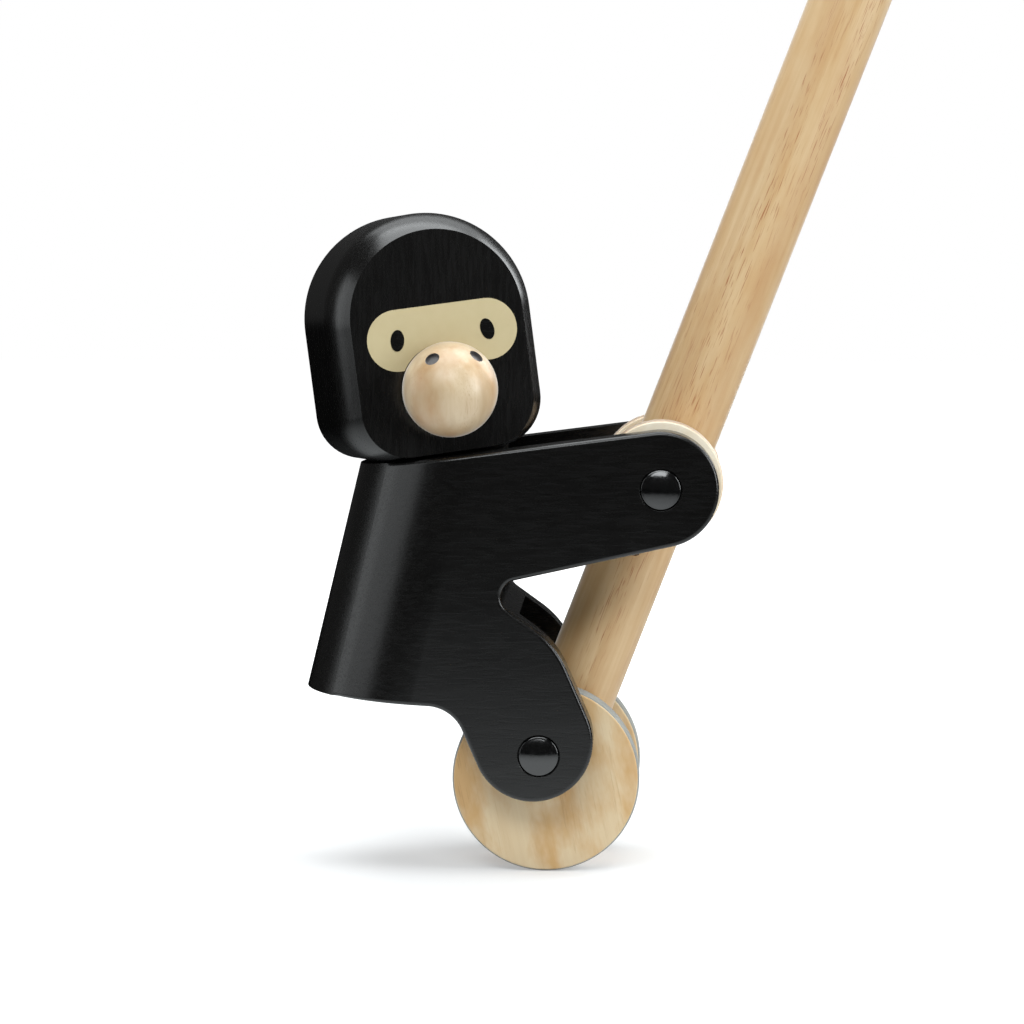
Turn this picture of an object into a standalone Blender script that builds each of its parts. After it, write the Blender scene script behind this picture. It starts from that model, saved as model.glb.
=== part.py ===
"""Wooden gorilla on a push stick, in metres.

The wheels turn with their axle below the stick. Each leg is pegged to a wheel off its
centre, and the arms hold a pin that slides in the stick's slot, so the gorilla rocks and
slides up and down as the toy is pushed. +X is the way it walks, +Z is up, and the
origin is on the floor under the axle.
"""

import math

import bmesh
import bpy
from mathutils import Matrix, Vector

# Clearances
FIT_GAP = 0.0003
SIDE_GAP = 0.0006

# Stick and grip
STICK_DIAMETER = 0.0200
STICK_LEAN = math.radians(21.2)
STICK_ABOVE_AXLE = 0.4950
STICK_BELOW_AXLE = 0.0110
STICK_END_ROUND = 0.0045
SLOT_WIDTH = 0.0036
SLOT_PAST_TRAVEL = 0.0040
TENON_DIAMETER = 0.0120
TENON_LENGTH = 0.0180
KNOB_DIAMETER = 0.0350
KNOB_LENGTH = 0.0300
KNOB_COLLAR_DIAMETER = 0.0240
KNOB_FLAT_DIAMETER = 0.0120

# Wheels
WHEEL_DIAMETER = 0.0468
WHEEL_THICKNESS = 0.0090
WHEEL_EDGE = 0.0004
TYRE_PROUD = 0.0004
TYRE_WIDTH = 0.0074
TYRE_GROOVE_DEPTH = 0.0011
TYRE_EDGE = 0.0006
AXLE_DIAMETER = 0.0060

# Slider and crank
CRANK_RADIUS = 0.0076
ROD_LENGTH = 0.0737
CRANK_ANGLE = math.radians(32.4)
BOARD_ROD_LEAN = math.radians(24.4)

# Pins and their black heads
ARM_PIN_DIAMETER = 0.0030
ARM_PIN_IN_CAP = 0.0022
PEG_DIAMETER = 0.0050
PEG_HOLE_DEPTH = 0.0070
CAP_DIAMETER = 0.0102
CAP_SEAT_DEPTH = 0.0040
CAP_DOME = 0.0010
CAP_EDGE = 0.0006
DISC_DIAMETER = 0.0327
DISC_EDGE = 0.0005

# Side boards and core, as the gorilla stands with the arm pin at the drawing's origin
BOARD_THICKNESS = 0.0100
ARM_RADIUS = 0.0145
ARM_TOP_SLOPE = math.radians(7.3)
ARM_UNDER_SLOPE = math.radians(12.4)
BACK_FROM_PIN = 0.0761
BACK_LENGTH = 0.0593
BACK_LEAN = math.radians(13.6)
RUMP_SLOPE = math.radians(-3.2)
LEG_DROP = math.radians(-66.5)
LEG_RADIUS = 0.01515
LEG_END_ABOVE_PEG = 0.0038
BELLY_SLOPE = math.radians(-35.9)
BELLY_ABOVE_PEG = 0.0252
ARMPIT_ROUND = 0.0042
KNEE_ROUND = 0.0240
RUMP_ROUND = 0.0100
OUTER_EDGE = 0.0012
SEAM_EDGE = 0.0003
BACK_ROUND_EXTRA = 0.00005
WHEEL_WELL_GAP = 0.0007

# Head
HEAD_WIDTH = 0.0535
HEAD_HEIGHT = 0.0612
HEAD_DEPTH = 0.0460
HEAD_CORNER = 0.0120
HEAD_SIDE_ROUND = 0.0185
HEAD_FACE_CREASE = math.radians(40.5)
HEAD_BASE_EASE = 0.0006
HEAD_TURN = math.radians(17.3)
NECK_FROM_PIN = 0.0572
NECK_DIAMETER = 0.0080
NECK_IN_HEAD = 0.0125
NECK_IN_TORSO = 0.0240
LOCK_DEPTH = 0.0140
LOCK_PIN_DIAMETER = 0.0025
LOCK_GROOVE_DEPTH = 0.0014
NOSE_DIAMETER = 0.0240
NOSE_HEIGHT = 0.0164
NOSE_PROUD = 0.0040
NOSE_TURN = math.radians(7.5)
NOSE_DOWEL_DIAMETER = 0.0040
NOSE_DOWEL_IN_BALL = 0.0050
NOSE_DOWEL_IN_HEAD = 0.0060
NOSTRIL_DIAMETER = 0.0032
NOSTRIL_DEPTH = 0.0010
NOSTRIL_SIDE = math.radians(49.5)
NOSTRIL_RISE = math.radians(50.0)

# How finely round shapes are cut
STICK_STEPS = 28
WHEEL_STEPS = 40
DISC_STEPS = 36
DOWEL_STEPS = 24
CAP_STEPS = 20
PIN_STEPS = 16
BALL_ROWS = 14
HEAD_SIDE_STEPS = 5
EDGE_STEPS = 2
CORNER_STEP = math.radians(9)
BACK_STEP = math.radians(6.3)
ARCH_STEP = math.radians(8)
KNOB_STEP = math.radians(12)
END_STEP = math.radians(22.5)
SHARP_ANGLE = math.radians(30)
FLAT_ANGLE = math.radians(0.5)

# Worked out from the sizes above
TYRE_DIAMETER = WHEEL_DIAMETER + 2 * TYRE_PROUD
AXLE_HEIGHT = TYRE_DIAMETER / 2
WHEEL_INNER = STICK_DIAMETER / 2 + SIDE_GAP
WHEEL_OUTER = WHEEL_INNER + WHEEL_THICKNESS
BOARD_INNER = WHEEL_OUTER + SIDE_GAP
BOARD_OUTER = BOARD_INNER + BOARD_THICKNESS
CORE_HALF = BOARD_INNER - FIT_GAP
BACK_RADIUS = BOARD_OUTER + BACK_ROUND_EXTRA
CAP_SEAT = BOARD_OUTER - CAP_SEAT_DEPTH
AXIS_Y = Matrix.Rotation(-math.pi / 2, 4, "X")

for old in list(bpy.data.objects):
    bpy.data.objects.remove(old, do_unlink=True)


def material(name, colour, roughness, metallic=0.0):
    """A plain material with one colour, given as (red, green, blue)."""
    made = bpy.data.materials.new(name)
    made.use_nodes = True
    shader = made.node_tree.nodes["Principled BSDF"]
    shader.inputs["Base Color"].default_value = (*colour, 1.0)
    shader.inputs["Roughness"].default_value = roughness
    shader.inputs["Metallic"].default_value = metallic
    return made


STICK_WOOD = material("stick_wood", (0.66, 0.47, 0.28), 0.55)
WHEEL_WOOD = material("wheel_wood", (0.70, 0.49, 0.27), 0.55)
PALE_WOOD = material("pale_wood", (0.84, 0.71, 0.53), 0.6)
BLACK_PAINT = material("black_paint", (0.012, 0.011, 0.010), 0.35)
BLACK_CAP = material("black_cap", (0.012, 0.012, 0.012), 0.15)
RUBBER = material("grey_rubber", (0.29, 0.31, 0.30), 0.7)
STEEL = material("steel", (0.55, 0.56, 0.57), 0.3, 1.0)


def empty(name, parent=None, matrix=Matrix()):
    """A joint's empty, placed under its parent."""
    made = bpy.data.objects.new(name, None)
    made.empty_display_size = STICK_DIAMETER
    bpy.context.collection.objects.link(made)
    made.parent = parent
    made.matrix_local = matrix
    return made


def place(name, bm, look=None, parent=None, matrix=Matrix()):
    """Turn a bmesh into an object, shaded smooth with its sharp edges marked."""
    bmesh.ops.remove_doubles(bm, verts=bm.verts, dist=1e-6)
    bmesh.ops.recalc_face_normals(bm, faces=bm.faces)
    mesh = bpy.data.meshes.new(name)
    bm.to_mesh(mesh)
    bm.free()
    mesh.shade_smooth()
    mesh.set_sharp_from_angle(angle=SHARP_ANGLE)
    if look:
        mesh.materials.append(look)
    made = bpy.data.objects.new(name, mesh)
    bpy.context.collection.objects.link(made)
    made.parent = parent
    made.matrix_local = matrix
    return made


def cutter(name, bm, parent=None, matrix=Matrix()):
    """A hidden shape that a Boolean takes away or keeps."""
    made = place(name, bm, None, parent, matrix)
    made.hide_render = True
    made.display_type = "WIRE"
    return made


def boolean(target, other, operation="DIFFERENCE"):
    """Cut the target with another object."""
    step = target.modifiers.new(other.name, "BOOLEAN")
    step.operation = operation
    step.solver = "EXACT"
    step.object = other


def turned(profile, steps):
    """Spin a profile of (radius, height) points about Z into a closed body."""
    bm = bmesh.new()
    points = [bm.verts.new((radius, 0, height)) for radius, height in profile]
    edges = [
        bm.edges.new((a, b))
        for a, b in zip(points, points[1:] + points[:1])
        if a.co.x > 0 or b.co.x > 0
    ]
    bmesh.ops.spin(
        bm,
        geom=points + edges,
        cent=(0, 0, 0),
        axis=(0, 0, 1),
        angle=2 * math.pi,
        steps=steps,
        use_merge=True,
    )
    return bm


def rod(diameter, low, high, steps=PIN_STEPS):
    """A plain cylinder along Z."""
    radius = diameter / 2
    return turned([(0, low), (radius, low), (radius, high), (0, high)], steps)


def extruded(outline, low, high):
    """Extrude an outline of (x, z) points along Y."""
    bm = bmesh.new()
    face = bm.faces.new([bm.verts.new((x, low, z)) for x, z in outline])
    grown = bmesh.ops.extrude_face_region(bm, geom=[face])["geom"]
    moved = [item for item in grown if isinstance(item, bmesh.types.BMVert)]
    bmesh.ops.translate(bm, verts=moved, vec=(0, high - low, 0))
    return bm


def arc(centre, radius, start, end, step=CORNER_STEP):
    """Points along an arc, both ends included, with angles in radians."""
    count = max(2, math.ceil(abs(end - start) / step))
    turns = [start + (end - start) * i / count for i in range(count + 1)]
    return [
        Vector((centre[0] + radius * math.cos(a), centre[1] + radius * math.sin(a)))
        for a in turns
    ]


def heading(angle):
    """The unit vector at an angle above +X."""
    return Vector((math.cos(angle), math.sin(angle)))


def meet(point_a, angle_a, point_b, angle_b):
    """Where two lines cross, each given by a point and an angle."""
    along, other = heading(angle_a), heading(angle_b)
    gap = point_b - point_a
    share = (gap.x * other.y - gap.y * other.x) / (along.x * other.y - along.y * other.x)
    return point_a + along * share


def fillet(before, corner, after, radius):
    """The arc that rounds a corner between its two neighbours."""
    back = (before - corner).normalized()
    ahead = (after - corner).normalized()
    half = back.angle(ahead) / 2
    centre = corner + (back + ahead).normalized() * radius / math.sin(half)
    start = corner + back * radius / math.tan(half) - centre
    end = corner + ahead * radius / math.tan(half) - centre
    first = math.atan2(start.y, start.x)
    turn = math.atan2(start.x * end.y - start.y * end.x, start.dot(end))
    return arc(centre, radius, first, first + turn)


# Lines of the gorilla's side, with the arm pin at the origin

pin_point = Vector((0, 0))
peg_point = -ROD_LENGTH * heading(math.pi / 2 - BOARD_ROD_LEAN)
arm_top = ARM_RADIUS * heading(ARM_TOP_SLOPE + math.pi / 2)
arm_under = ARM_RADIUS * heading(ARM_UNDER_SLOPE - math.pi / 2)
belly = peg_point + BELLY_ABOVE_PEG * heading(BELLY_SLOPE + math.pi / 2)
leg_end = peg_point - LEG_END_ABOVE_PEG * heading(LEG_DROP)
leg_front = leg_end + LEG_RADIUS * heading(LEG_DROP + math.pi / 2)
leg_back = leg_end + LEG_RADIUS * heading(LEG_DROP - math.pi / 2)
back_top = arm_top - BACK_FROM_PIN * heading(ARM_TOP_SLOPE)
back_down = -math.pi / 2 - BACK_LEAN
rump = back_top + BACK_LENGTH * heading(back_down)
armpit = meet(arm_under, ARM_UNDER_SLOPE, belly, BELLY_SLOPE)
knee = meet(belly, BELLY_SLOPE, leg_front, LEG_DROP)
hip = meet(rump, RUMP_SLOPE, leg_back, LEG_DROP)
armpit_arc = fillet(arm_under, armpit, knee, ARMPIT_ROUND)

board_outline = (
    arc(pin_point, ARM_RADIUS, ARM_TOP_SLOPE + math.pi / 2, ARM_UNDER_SLOPE - math.pi / 2)
    + armpit_arc
    + fillet(armpit, knee, leg_front, KNEE_ROUND)
    + arc(leg_end, LEG_RADIUS, LEG_DROP + math.pi / 2, LEG_DROP - math.pi / 2)
    + fillet(leg_back, hip, rump, RUMP_ROUND)
    + [rump, back_top]
)


def core_outline():
    """The block's side: flush with the boards, and hollowed clear of the wheels.

    The well's radius covers the wheel wherever the gorilla rocks and slides, which
    at the corner of both is the crank's radius twice over, at right angles.
    """
    well = TYRE_DIAMETER / 2 + CRANK_RADIUS * math.sqrt(2) + WHEEL_WELL_GAP
    armpit_front = min(armpit_arc, key=lambda point: point.x)
    front_foot = armpit_arc.index(armpit_front)
    front_top = meet(armpit_front, math.pi / 2, arm_top, ARM_TOP_SLOPE)

    def on_well(point, angle, side):
        """Where a line crosses the well, on its left (-1) or right (+1)."""
        along = heading(angle)
        reach = (peg_point - point).dot(along)
        nearest = point + along * reach
        drop = (nearest - peg_point).length
        return nearest + along * side * math.sqrt(well**2 - drop**2)

    lip = on_well(belly, BELLY_SLOPE, -1)
    foot = on_well(rump, RUMP_SLOPE, -1)
    from_lip = math.atan2(lip.y - peg_point.y, lip.x - peg_point.x)
    from_foot = math.atan2(foot.y - peg_point.y, foot.x - peg_point.x)
    return (
        [front_top]
        + armpit_arc[front_foot:]
        + arc(peg_point, well, from_lip, from_foot)
        + [rump, back_top]
    )


def half_round_back():
    """The half-round plan that the boards and the core share at the gorilla's back."""
    reach = 2 * (BACK_FROM_PIN + ARM_RADIUS)
    side = BACK_RADIUS + BOARD_THICKNESS / 2
    plan = arc((BACK_RADIUS, 0), BACK_RADIUS, 1.5 * math.pi, 0.5 * math.pi, BACK_STEP)
    plan += [
        Vector((BACK_RADIUS, side)),
        Vector((reach, side)),
        Vector((reach, -side)),
        Vector((BACK_RADIUS, -side)),
    ]
    bm = bmesh.new()
    face = bm.faces.new([bm.verts.new((x, y, -reach)) for x, y in plan])
    grown = bmesh.ops.extrude_face_region(bm, geom=[face])["geom"]
    moved = [item for item in grown if isinstance(item, bmesh.types.BMVert)]
    bmesh.ops.translate(bm, verts=moved, vec=(0, 0, 2 * reach))
    return bm


def ease_edges(target, seam):
    """Round the outer edges, and break only lightly those along the seams at |y| = seam."""
    bpy.context.view_layer.objects.active = target
    for step in list(target.modifiers):
        bpy.ops.object.modifier_apply(modifier=step.name)
    bm = bmesh.new()
    bm.from_mesh(target.data)
    bmesh.ops.dissolve_limit(bm, angle_limit=FLAT_ANGLE, verts=bm.verts, edges=bm.edges)
    weight = bm.edges.layers.float.new("bevel_weight_edge")
    for edge in bm.edges:
        if edge.calc_face_angle(0) < SHARP_ANGLE:
            continue
        on_seam = all(abs(abs(vert.co.y) - seam) < FIT_GAP / 2 for vert in edge.verts)
        edge[weight] = SEAM_EDGE / OUTER_EDGE if on_seam else 1.0
    bm.to_mesh(target.data)
    bm.free()
    bevel = target.modifiers.new("eased_edges", "BEVEL")
    bevel.limit_method = "WEIGHT"
    bevel.width = OUTER_EDGE
    bevel.segments = EDGE_STEPS


# Joints' empties

lean = Matrix.Rotation(STICK_LEAN, 4, "Y")
pin_from_axle = CRANK_RADIUS * math.cos(CRANK_ANGLE) + math.sqrt(
    ROD_LENGTH**2 - (CRANK_RADIUS * math.sin(CRANK_ANGLE)) ** 2
)
rod_to_stick = math.asin(CRANK_RADIUS * math.sin(CRANK_ANGLE) / ROD_LENGTH)
gorilla_turn = STICK_LEAN + rod_to_stick - BOARD_ROD_LEAN

push_frame = empty("push_frame", None, Matrix.Translation((0, 0, AXLE_HEIGHT)) @ lean)
wheel_axis = empty("wheel_axis", None, Matrix.Translation((0, 0, AXLE_HEIGHT)))
slide_axis = empty("slide_axis", push_frame, Matrix.Translation((0, 0, pin_from_axle)))
rock_axis = empty(
    "rock_axis", slide_axis, lean.inverted() @ Matrix.Rotation(gorilla_turn, 4, "Y")
)
neck_point = arm_top - NECK_FROM_PIN * heading(ARM_TOP_SLOPE)
head_axis = empty(
    "head_axis",
    rock_axis,
    Matrix.Translation((neck_point.x, 0, neck_point.y))
    @ Matrix.Rotation(-ARM_TOP_SLOPE, 4, "Y"),
)


def across(parent, point, side=1):
    """The matrix that lays a turned piece along Y at a point of the side view."""
    return Matrix.Translation((point[0], 0, point[1])) @ Matrix.Diagonal(
        (1, side, 1, 1)
    ) @ AXIS_Y


# Stick and grip

stick_radius = STICK_DIAMETER / 2
tenon_radius = TENON_DIAMETER / 2
shoulder = STICK_ABOVE_AXLE
bottom_round = arc(
    (stick_radius - STICK_END_ROUND, STICK_END_ROUND - STICK_BELOW_AXLE),
    STICK_END_ROUND,
    -math.pi / 2,
    0,
    END_STEP,
)
stick_profile = (
    [(0, -STICK_BELOW_AXLE)]
    + bottom_round
    + [
        (stick_radius, shoulder),
        (tenon_radius, shoulder),
        (tenon_radius, shoulder + TENON_LENGTH),
        (0, shoulder + TENON_LENGTH),
    ]
)
push_stick = place(
    "push_stick", turned(stick_profile, STICK_STEPS), STICK_WOOD, push_frame
)

slot_end = SLOT_WIDTH / 2
slot_low = ROD_LENGTH - CRANK_RADIUS - SLOT_PAST_TRAVEL
slot_high = ROD_LENGTH + CRANK_RADIUS + SLOT_PAST_TRAVEL
slot_outline = arc((0, slot_high), slot_end, 0, math.pi, END_STEP) + arc(
    (0, slot_low), slot_end, math.pi, 2 * math.pi, END_STEP
)
slot = cutter(
    "slot_cut", extruded(slot_outline, -STICK_DIAMETER, STICK_DIAMETER), push_frame
)
axle_bore = cutter(
    "axle_bore_cut",
    rod(AXLE_DIAMETER + 2 * FIT_GAP, -STICK_DIAMETER, STICK_DIAMETER, DOWEL_STEPS),
    push_frame,
    AXIS_Y,
)
boolean(push_stick, slot)
boolean(push_stick, axle_bore)


def knob():
    """A ball-ended grip on a collar, bored for the stick's tenon."""
    ball = KNOB_DIAMETER / 2
    flat = KNOB_FLAT_DIAMETER / 2
    collar = KNOB_COLLAR_DIAMETER / 2
    bore = tenon_radius + FIT_GAP
    low = shoulder + FIT_GAP
    middle = low + KNOB_LENGTH - math.sqrt(ball**2 - flat**2)
    top_turn = math.acos(flat / ball)
    low_turn = -math.acos(collar / ball)
    profile = [(bore, low), (collar, low)]
    profile += arc((0, middle), ball, low_turn, top_turn, KNOB_STEP)
    floor = shoulder + TENON_LENGTH + FIT_GAP
    profile += [(0, middle + math.sqrt(ball**2 - flat**2)), (0, floor), (bore, floor)]
    return profile


place("stick_knob", turned(knob(), STICK_STEPS), STICK_WOOD, push_frame)


# Wheels

place(
    "axle",
    rod(AXLE_DIAMETER, -WHEEL_OUTER, WHEEL_OUTER, DOWEL_STEPS),
    PALE_WOOD,
    wheel_axis,
    AXIS_Y,
)


def wheel_profile():
    """Half-section of a wheel: bore, inner face, rim with its groove, outer face."""
    rim = WHEEL_DIAMETER / 2
    groove = rim - TYRE_GROOVE_DEPTH
    middle = WHEEL_INNER + WHEEL_THICKNESS / 2
    half_groove = TYRE_WIDTH / 2 + FIT_GAP
    bore = AXLE_DIAMETER / 2 + FIT_GAP
    return [
        (bore, WHEEL_INNER),
        (rim - WHEEL_EDGE, WHEEL_INNER),
        (rim, WHEEL_INNER + WHEEL_EDGE),
        (rim, middle - half_groove),
        (groove, middle - half_groove),
        (groove, middle + half_groove),
        (rim, middle + half_groove),
        (rim, WHEEL_OUTER - WHEEL_EDGE),
        (rim - WHEEL_EDGE, WHEEL_OUTER),
        (bore, WHEEL_OUTER),
    ]


def tyre_profile():
    """Half-section of the rubber ring: flat band with rounded outer corners."""
    inner = WHEEL_DIAMETER / 2 - TYRE_GROOVE_DEPTH + FIT_GAP
    outer = TYRE_DIAMETER / 2
    middle = WHEEL_INNER + WHEEL_THICKNESS / 2
    low = middle - TYRE_WIDTH / 2
    high = middle + TYRE_WIDTH / 2
    edge = outer - TYRE_EDGE
    low_round = arc((edge, low + TYRE_EDGE), TYRE_EDGE, -math.pi / 2, 0, math.pi / 4)
    high_round = arc((edge, high - TYRE_EDGE), TYRE_EDGE, 0, math.pi / 2, math.pi / 4)
    return [(inner, low)] + low_round + high_round + [(inner, high)]


peg_on_wheel = CRANK_RADIUS * heading(math.pi / 2 - STICK_LEAN + CRANK_ANGLE)
peg_hole_diameter = PEG_DIAMETER + 2 * FIT_GAP

for side_name, side in (("right", -1), ("left", 1)):
    wheel = place(
        "wheel_" + side_name,
        turned(wheel_profile(), WHEEL_STEPS),
        WHEEL_WOOD,
        wheel_axis,
        across(wheel_axis, (0, 0), side),
    )
    peg_hole = cutter(
        "peg_hole_cut_" + side_name,
        rod(
            peg_hole_diameter,
            WHEEL_OUTER - PEG_HOLE_DEPTH,
            WHEEL_OUTER + SIDE_GAP,
            CAP_STEPS,
        ),
        wheel_axis,
        across(wheel_axis, peg_on_wheel, side),
    )
    boolean(wheel, peg_hole)
    place(
        "tyre_" + side_name,
        turned(tyre_profile(), WHEEL_STEPS),
        RUBBER,
        wheel_axis,
        across(wheel_axis, (0, 0), side),
    )


# Arm pin, its caps and the spacer discs

arm_pin_end = CAP_SEAT + FIT_GAP + ARM_PIN_IN_CAP
place(
    "arm_pin",
    rod(ARM_PIN_DIAMETER, -arm_pin_end, arm_pin_end),
    STEEL,
    slide_axis,
    AXIS_Y,
)

arm_pin_bore = ARM_PIN_DIAMETER + 2 * FIT_GAP
disc_radius = DISC_DIAMETER / 2
disc_profile = [
    (arm_pin_bore / 2, WHEEL_INNER),
    (disc_radius - DISC_EDGE, WHEEL_INNER),
    (disc_radius, WHEEL_INNER + DISC_EDGE),
    (disc_radius, WHEEL_OUTER - DISC_EDGE),
    (disc_radius - DISC_EDGE, WHEEL_OUTER),
    (arm_pin_bore / 2, WHEEL_OUTER),
]


def dome(under):
    """A cap's top, from its rim's underside to the middle of its shallow dome."""
    rim = CAP_DIAMETER / 2
    crown = BOARD_OUTER + CAP_DOME
    edge = BOARD_OUTER - CAP_EDGE / 2
    rise = crown - edge
    curve = (rim**2 + rise**2) / (2 * rise)
    top = arc((0, crown - curve), curve, math.asin((curve - rise) / curve), math.pi / 2)
    return [(rim, under)] + [(max(point.x, 0), point.y) for point in top[:-1]] + [(0, crown)]


cap_under = CAP_SEAT + FIT_GAP
cap_bore_floor = arm_pin_end + FIT_GAP
arm_cap_profile = [(arm_pin_bore / 2, cap_under)] + dome(cap_under)
arm_cap_profile += [(0, cap_bore_floor), (arm_pin_bore / 2, cap_bore_floor)]

for side_name, side in (("right", -1), ("left", 1)):
    place(
        "spacer_disc_" + side_name,
        turned(disc_profile, DISC_STEPS),
        PALE_WOOD,
        slide_axis,
        across(slide_axis, (0, 0), side),
    )
    place(
        "arm_cap_" + side_name,
        turned(arm_cap_profile, CAP_STEPS),
        BLACK_CAP,
        slide_axis,
        across(slide_axis, (0, 0), side),
    )


# Side boards and leg pegs

back_matrix = Matrix.Translation((back_top.x, 0, back_top.y)) @ Matrix.Rotation(
    BACK_LEAN, 4, "Y"
)
back_cut = cutter("back_cut", half_round_back(), rock_axis, back_matrix)

peg_profile = [
    (0, WHEEL_OUTER + FIT_GAP),
    (PEG_DIAMETER / 2, WHEEL_OUTER + FIT_GAP),
    (PEG_DIAMETER / 2, cap_under),
] + dome(cap_under)

for side_name, side in (("right", -1), ("left", 1)):
    flat = extruded(board_outline, side * BOARD_INNER, side * BOARD_OUTER)
    board = place("side_board_" + side_name, flat, BLACK_PAINT, rock_axis)
    boolean(board, back_cut, "INTERSECT")
    ease_edges(board, BOARD_INNER)
    for hole_name, point, bore in (
        ("arm_hole", pin_point, arm_pin_bore),
        ("leg_hole", peg_point, peg_hole_diameter),
    ):
        seat = CAP_DIAMETER / 2 + FIT_GAP
        stepped = [
            (0, BOARD_INNER - SIDE_GAP),
            (bore / 2, BOARD_INNER - SIDE_GAP),
            (bore / 2, CAP_SEAT),
            (seat, CAP_SEAT),
            (seat, BOARD_OUTER + SIDE_GAP),
            (0, BOARD_OUTER + SIDE_GAP),
        ]
        hole = cutter(
            hole_name + "_cut_" + side_name,
            turned(stepped, CAP_STEPS),
            rock_axis,
            across(rock_axis, point, side),
        )
        boolean(board, hole)
    place(
        "leg_peg_" + side_name,
        turned(peg_profile, CAP_STEPS),
        BLACK_CAP,
        rock_axis,
        across(rock_axis, peg_point, side),
    )


# Torso core, neck dowel and the pin that locks it

core = place(
    "torso_core",
    extruded(core_outline(), -CORE_HALF, CORE_HALF),
    BLACK_PAINT,
    rock_axis,
)
boolean(core, back_cut, "INTERSECT")
ease_edges(core, CORE_HALF)

neck_radius = NECK_DIAMETER / 2
groove_radius = neck_radius - LOCK_GROOVE_DEPTH
lock_radius = LOCK_PIN_DIAMETER / 2
groove_half = lock_radius + FIT_GAP
lock_offset = groove_radius + FIT_GAP + lock_radius
neck_profile = [
    (0, -NECK_IN_TORSO),
    (neck_radius, -NECK_IN_TORSO),
    (neck_radius, -LOCK_DEPTH - groove_half),
    (groove_radius, -LOCK_DEPTH - groove_half),
    (groove_radius, -LOCK_DEPTH + groove_half),
    (neck_radius, -LOCK_DEPTH + groove_half),
    (neck_radius, NECK_IN_HEAD),
    (0, NECK_IN_HEAD),
]
place("neck_dowel", turned(neck_profile, DOWEL_STEPS), PALE_WOOD, head_axis)

neck_bore = cutter(
    "neck_bore_cut",
    rod(
        NECK_DIAMETER + 2 * FIT_GAP,
        -NECK_IN_TORSO - FIT_GAP,
        NECK_IN_TORSO,
        DOWEL_STEPS,
    ),
    head_axis,
)
lock_matrix = Matrix.Translation((-lock_offset, 0, -LOCK_DEPTH)) @ AXIS_Y
lock_bore = cutter(
    "lock_bore_cut",
    rod(LOCK_PIN_DIAMETER + 2 * FIT_GAP, -BOARD_OUTER, BOARD_OUTER),
    head_axis,
    lock_matrix,
)
boolean(core, neck_bore)
boolean(core, lock_bore)
place(
    "neck_lock_pin",
    rod(LOCK_PIN_DIAMETER, -CORE_HALF, CORE_HALF),
    STEEL,
    rock_axis,
    head_axis.matrix_local @ lock_matrix,
)


# Head and nose

head_turned = Matrix.Rotation(HEAD_TURN, 4, "Z") @ Matrix.Translation((0, 0, FIT_GAP))


def arch(inset, base):
    """The head's front outline, drawn in from its widest by an inset, on its base."""
    half = HEAD_WIDTH / 2
    reach = half - inset - HEAD_CORNER
    height = base + HEAD_CORNER
    top = arc((0, HEAD_HEIGHT - half), half - inset, 0, math.pi, ARCH_STEP)
    left = arc((-reach, height), HEAD_CORNER, math.pi, 1.5 * math.pi)
    right = arc((reach, height), HEAD_CORNER, -0.5 * math.pi, 0)
    return top + left + right


def head_body():
    """Arched sections from the face to the back, with barrel-round sides."""
    bm = bmesh.new()
    full = HEAD_SIDE_ROUND * math.sin(HEAD_FACE_CREASE)
    half = HEAD_DEPTH / 2
    sections = []
    for i in range(HEAD_SIDE_STEPS + 1):
        share = 1 - i / HEAD_SIDE_STEPS
        turn = HEAD_FACE_CREASE * share
        inset = HEAD_SIDE_ROUND * (1 - math.cos(turn))
        ease = HEAD_BASE_EASE * share**2
        sections.append((-half + full - HEAD_SIDE_ROUND * math.sin(turn), inset, ease))
    sections += [(-depth, inset, ease) for depth, inset, ease in reversed(sections)]
    rings = [
        [bm.verts.new((x, depth, z)) for x, z in arch(inset, ease)]
        for depth, inset, ease in sections
    ]
    for ring, following in zip(rings, rings[1:]):
        count = len(ring)
        for i in range(count):
            j = (i + 1) % count
            bm.faces.new((ring[i], ring[j], following[j], following[i]))
    bm.faces.new(rings[0])
    bm.faces.new(reversed(rings[-1]))
    return bm


def ball(diameter):
    """A sphere about the origin, its poles on Z."""
    bm = bmesh.new()
    bmesh.ops.create_uvsphere(
        bm, u_segments=DOWEL_STEPS, v_segments=BALL_ROWS, radius=diameter / 2
    )
    return bm


head = place("head", head_body(), BLACK_PAINT, head_axis, head_turned)
nose_centre = Vector((0, -HEAD_DEPTH / 2 - NOSE_PROUD, NOSE_HEIGHT))
nose_matrix = head_turned @ Matrix.Translation(nose_centre) @ AXIS_Y.inverted()
head_bore = cutter(
    "head_bore_cut",
    rod(
        NECK_DIAMETER + 2 * FIT_GAP, -NECK_IN_HEAD, NECK_IN_HEAD + FIT_GAP, DOWEL_STEPS
    ),
    head_axis,
)
nose_seat = cutter(
    "nose_seat_cut", ball(NOSE_DIAMETER + 2 * FIT_GAP), head_axis, nose_matrix
)
nose_radius = NOSE_DIAMETER / 2
dowel_in_head = rod(
    NOSE_DOWEL_DIAMETER + 2 * FIT_GAP,
    -nose_radius - NOSE_DOWEL_IN_HEAD - FIT_GAP,
    -nose_radius + NOSE_DOWEL_IN_BALL,
)
nose_bore = cutter("nose_bore_cut", dowel_in_head, head_axis, nose_matrix)
boolean(head, head_bore)
boolean(head, nose_seat)
boolean(head, nose_bore)

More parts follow.
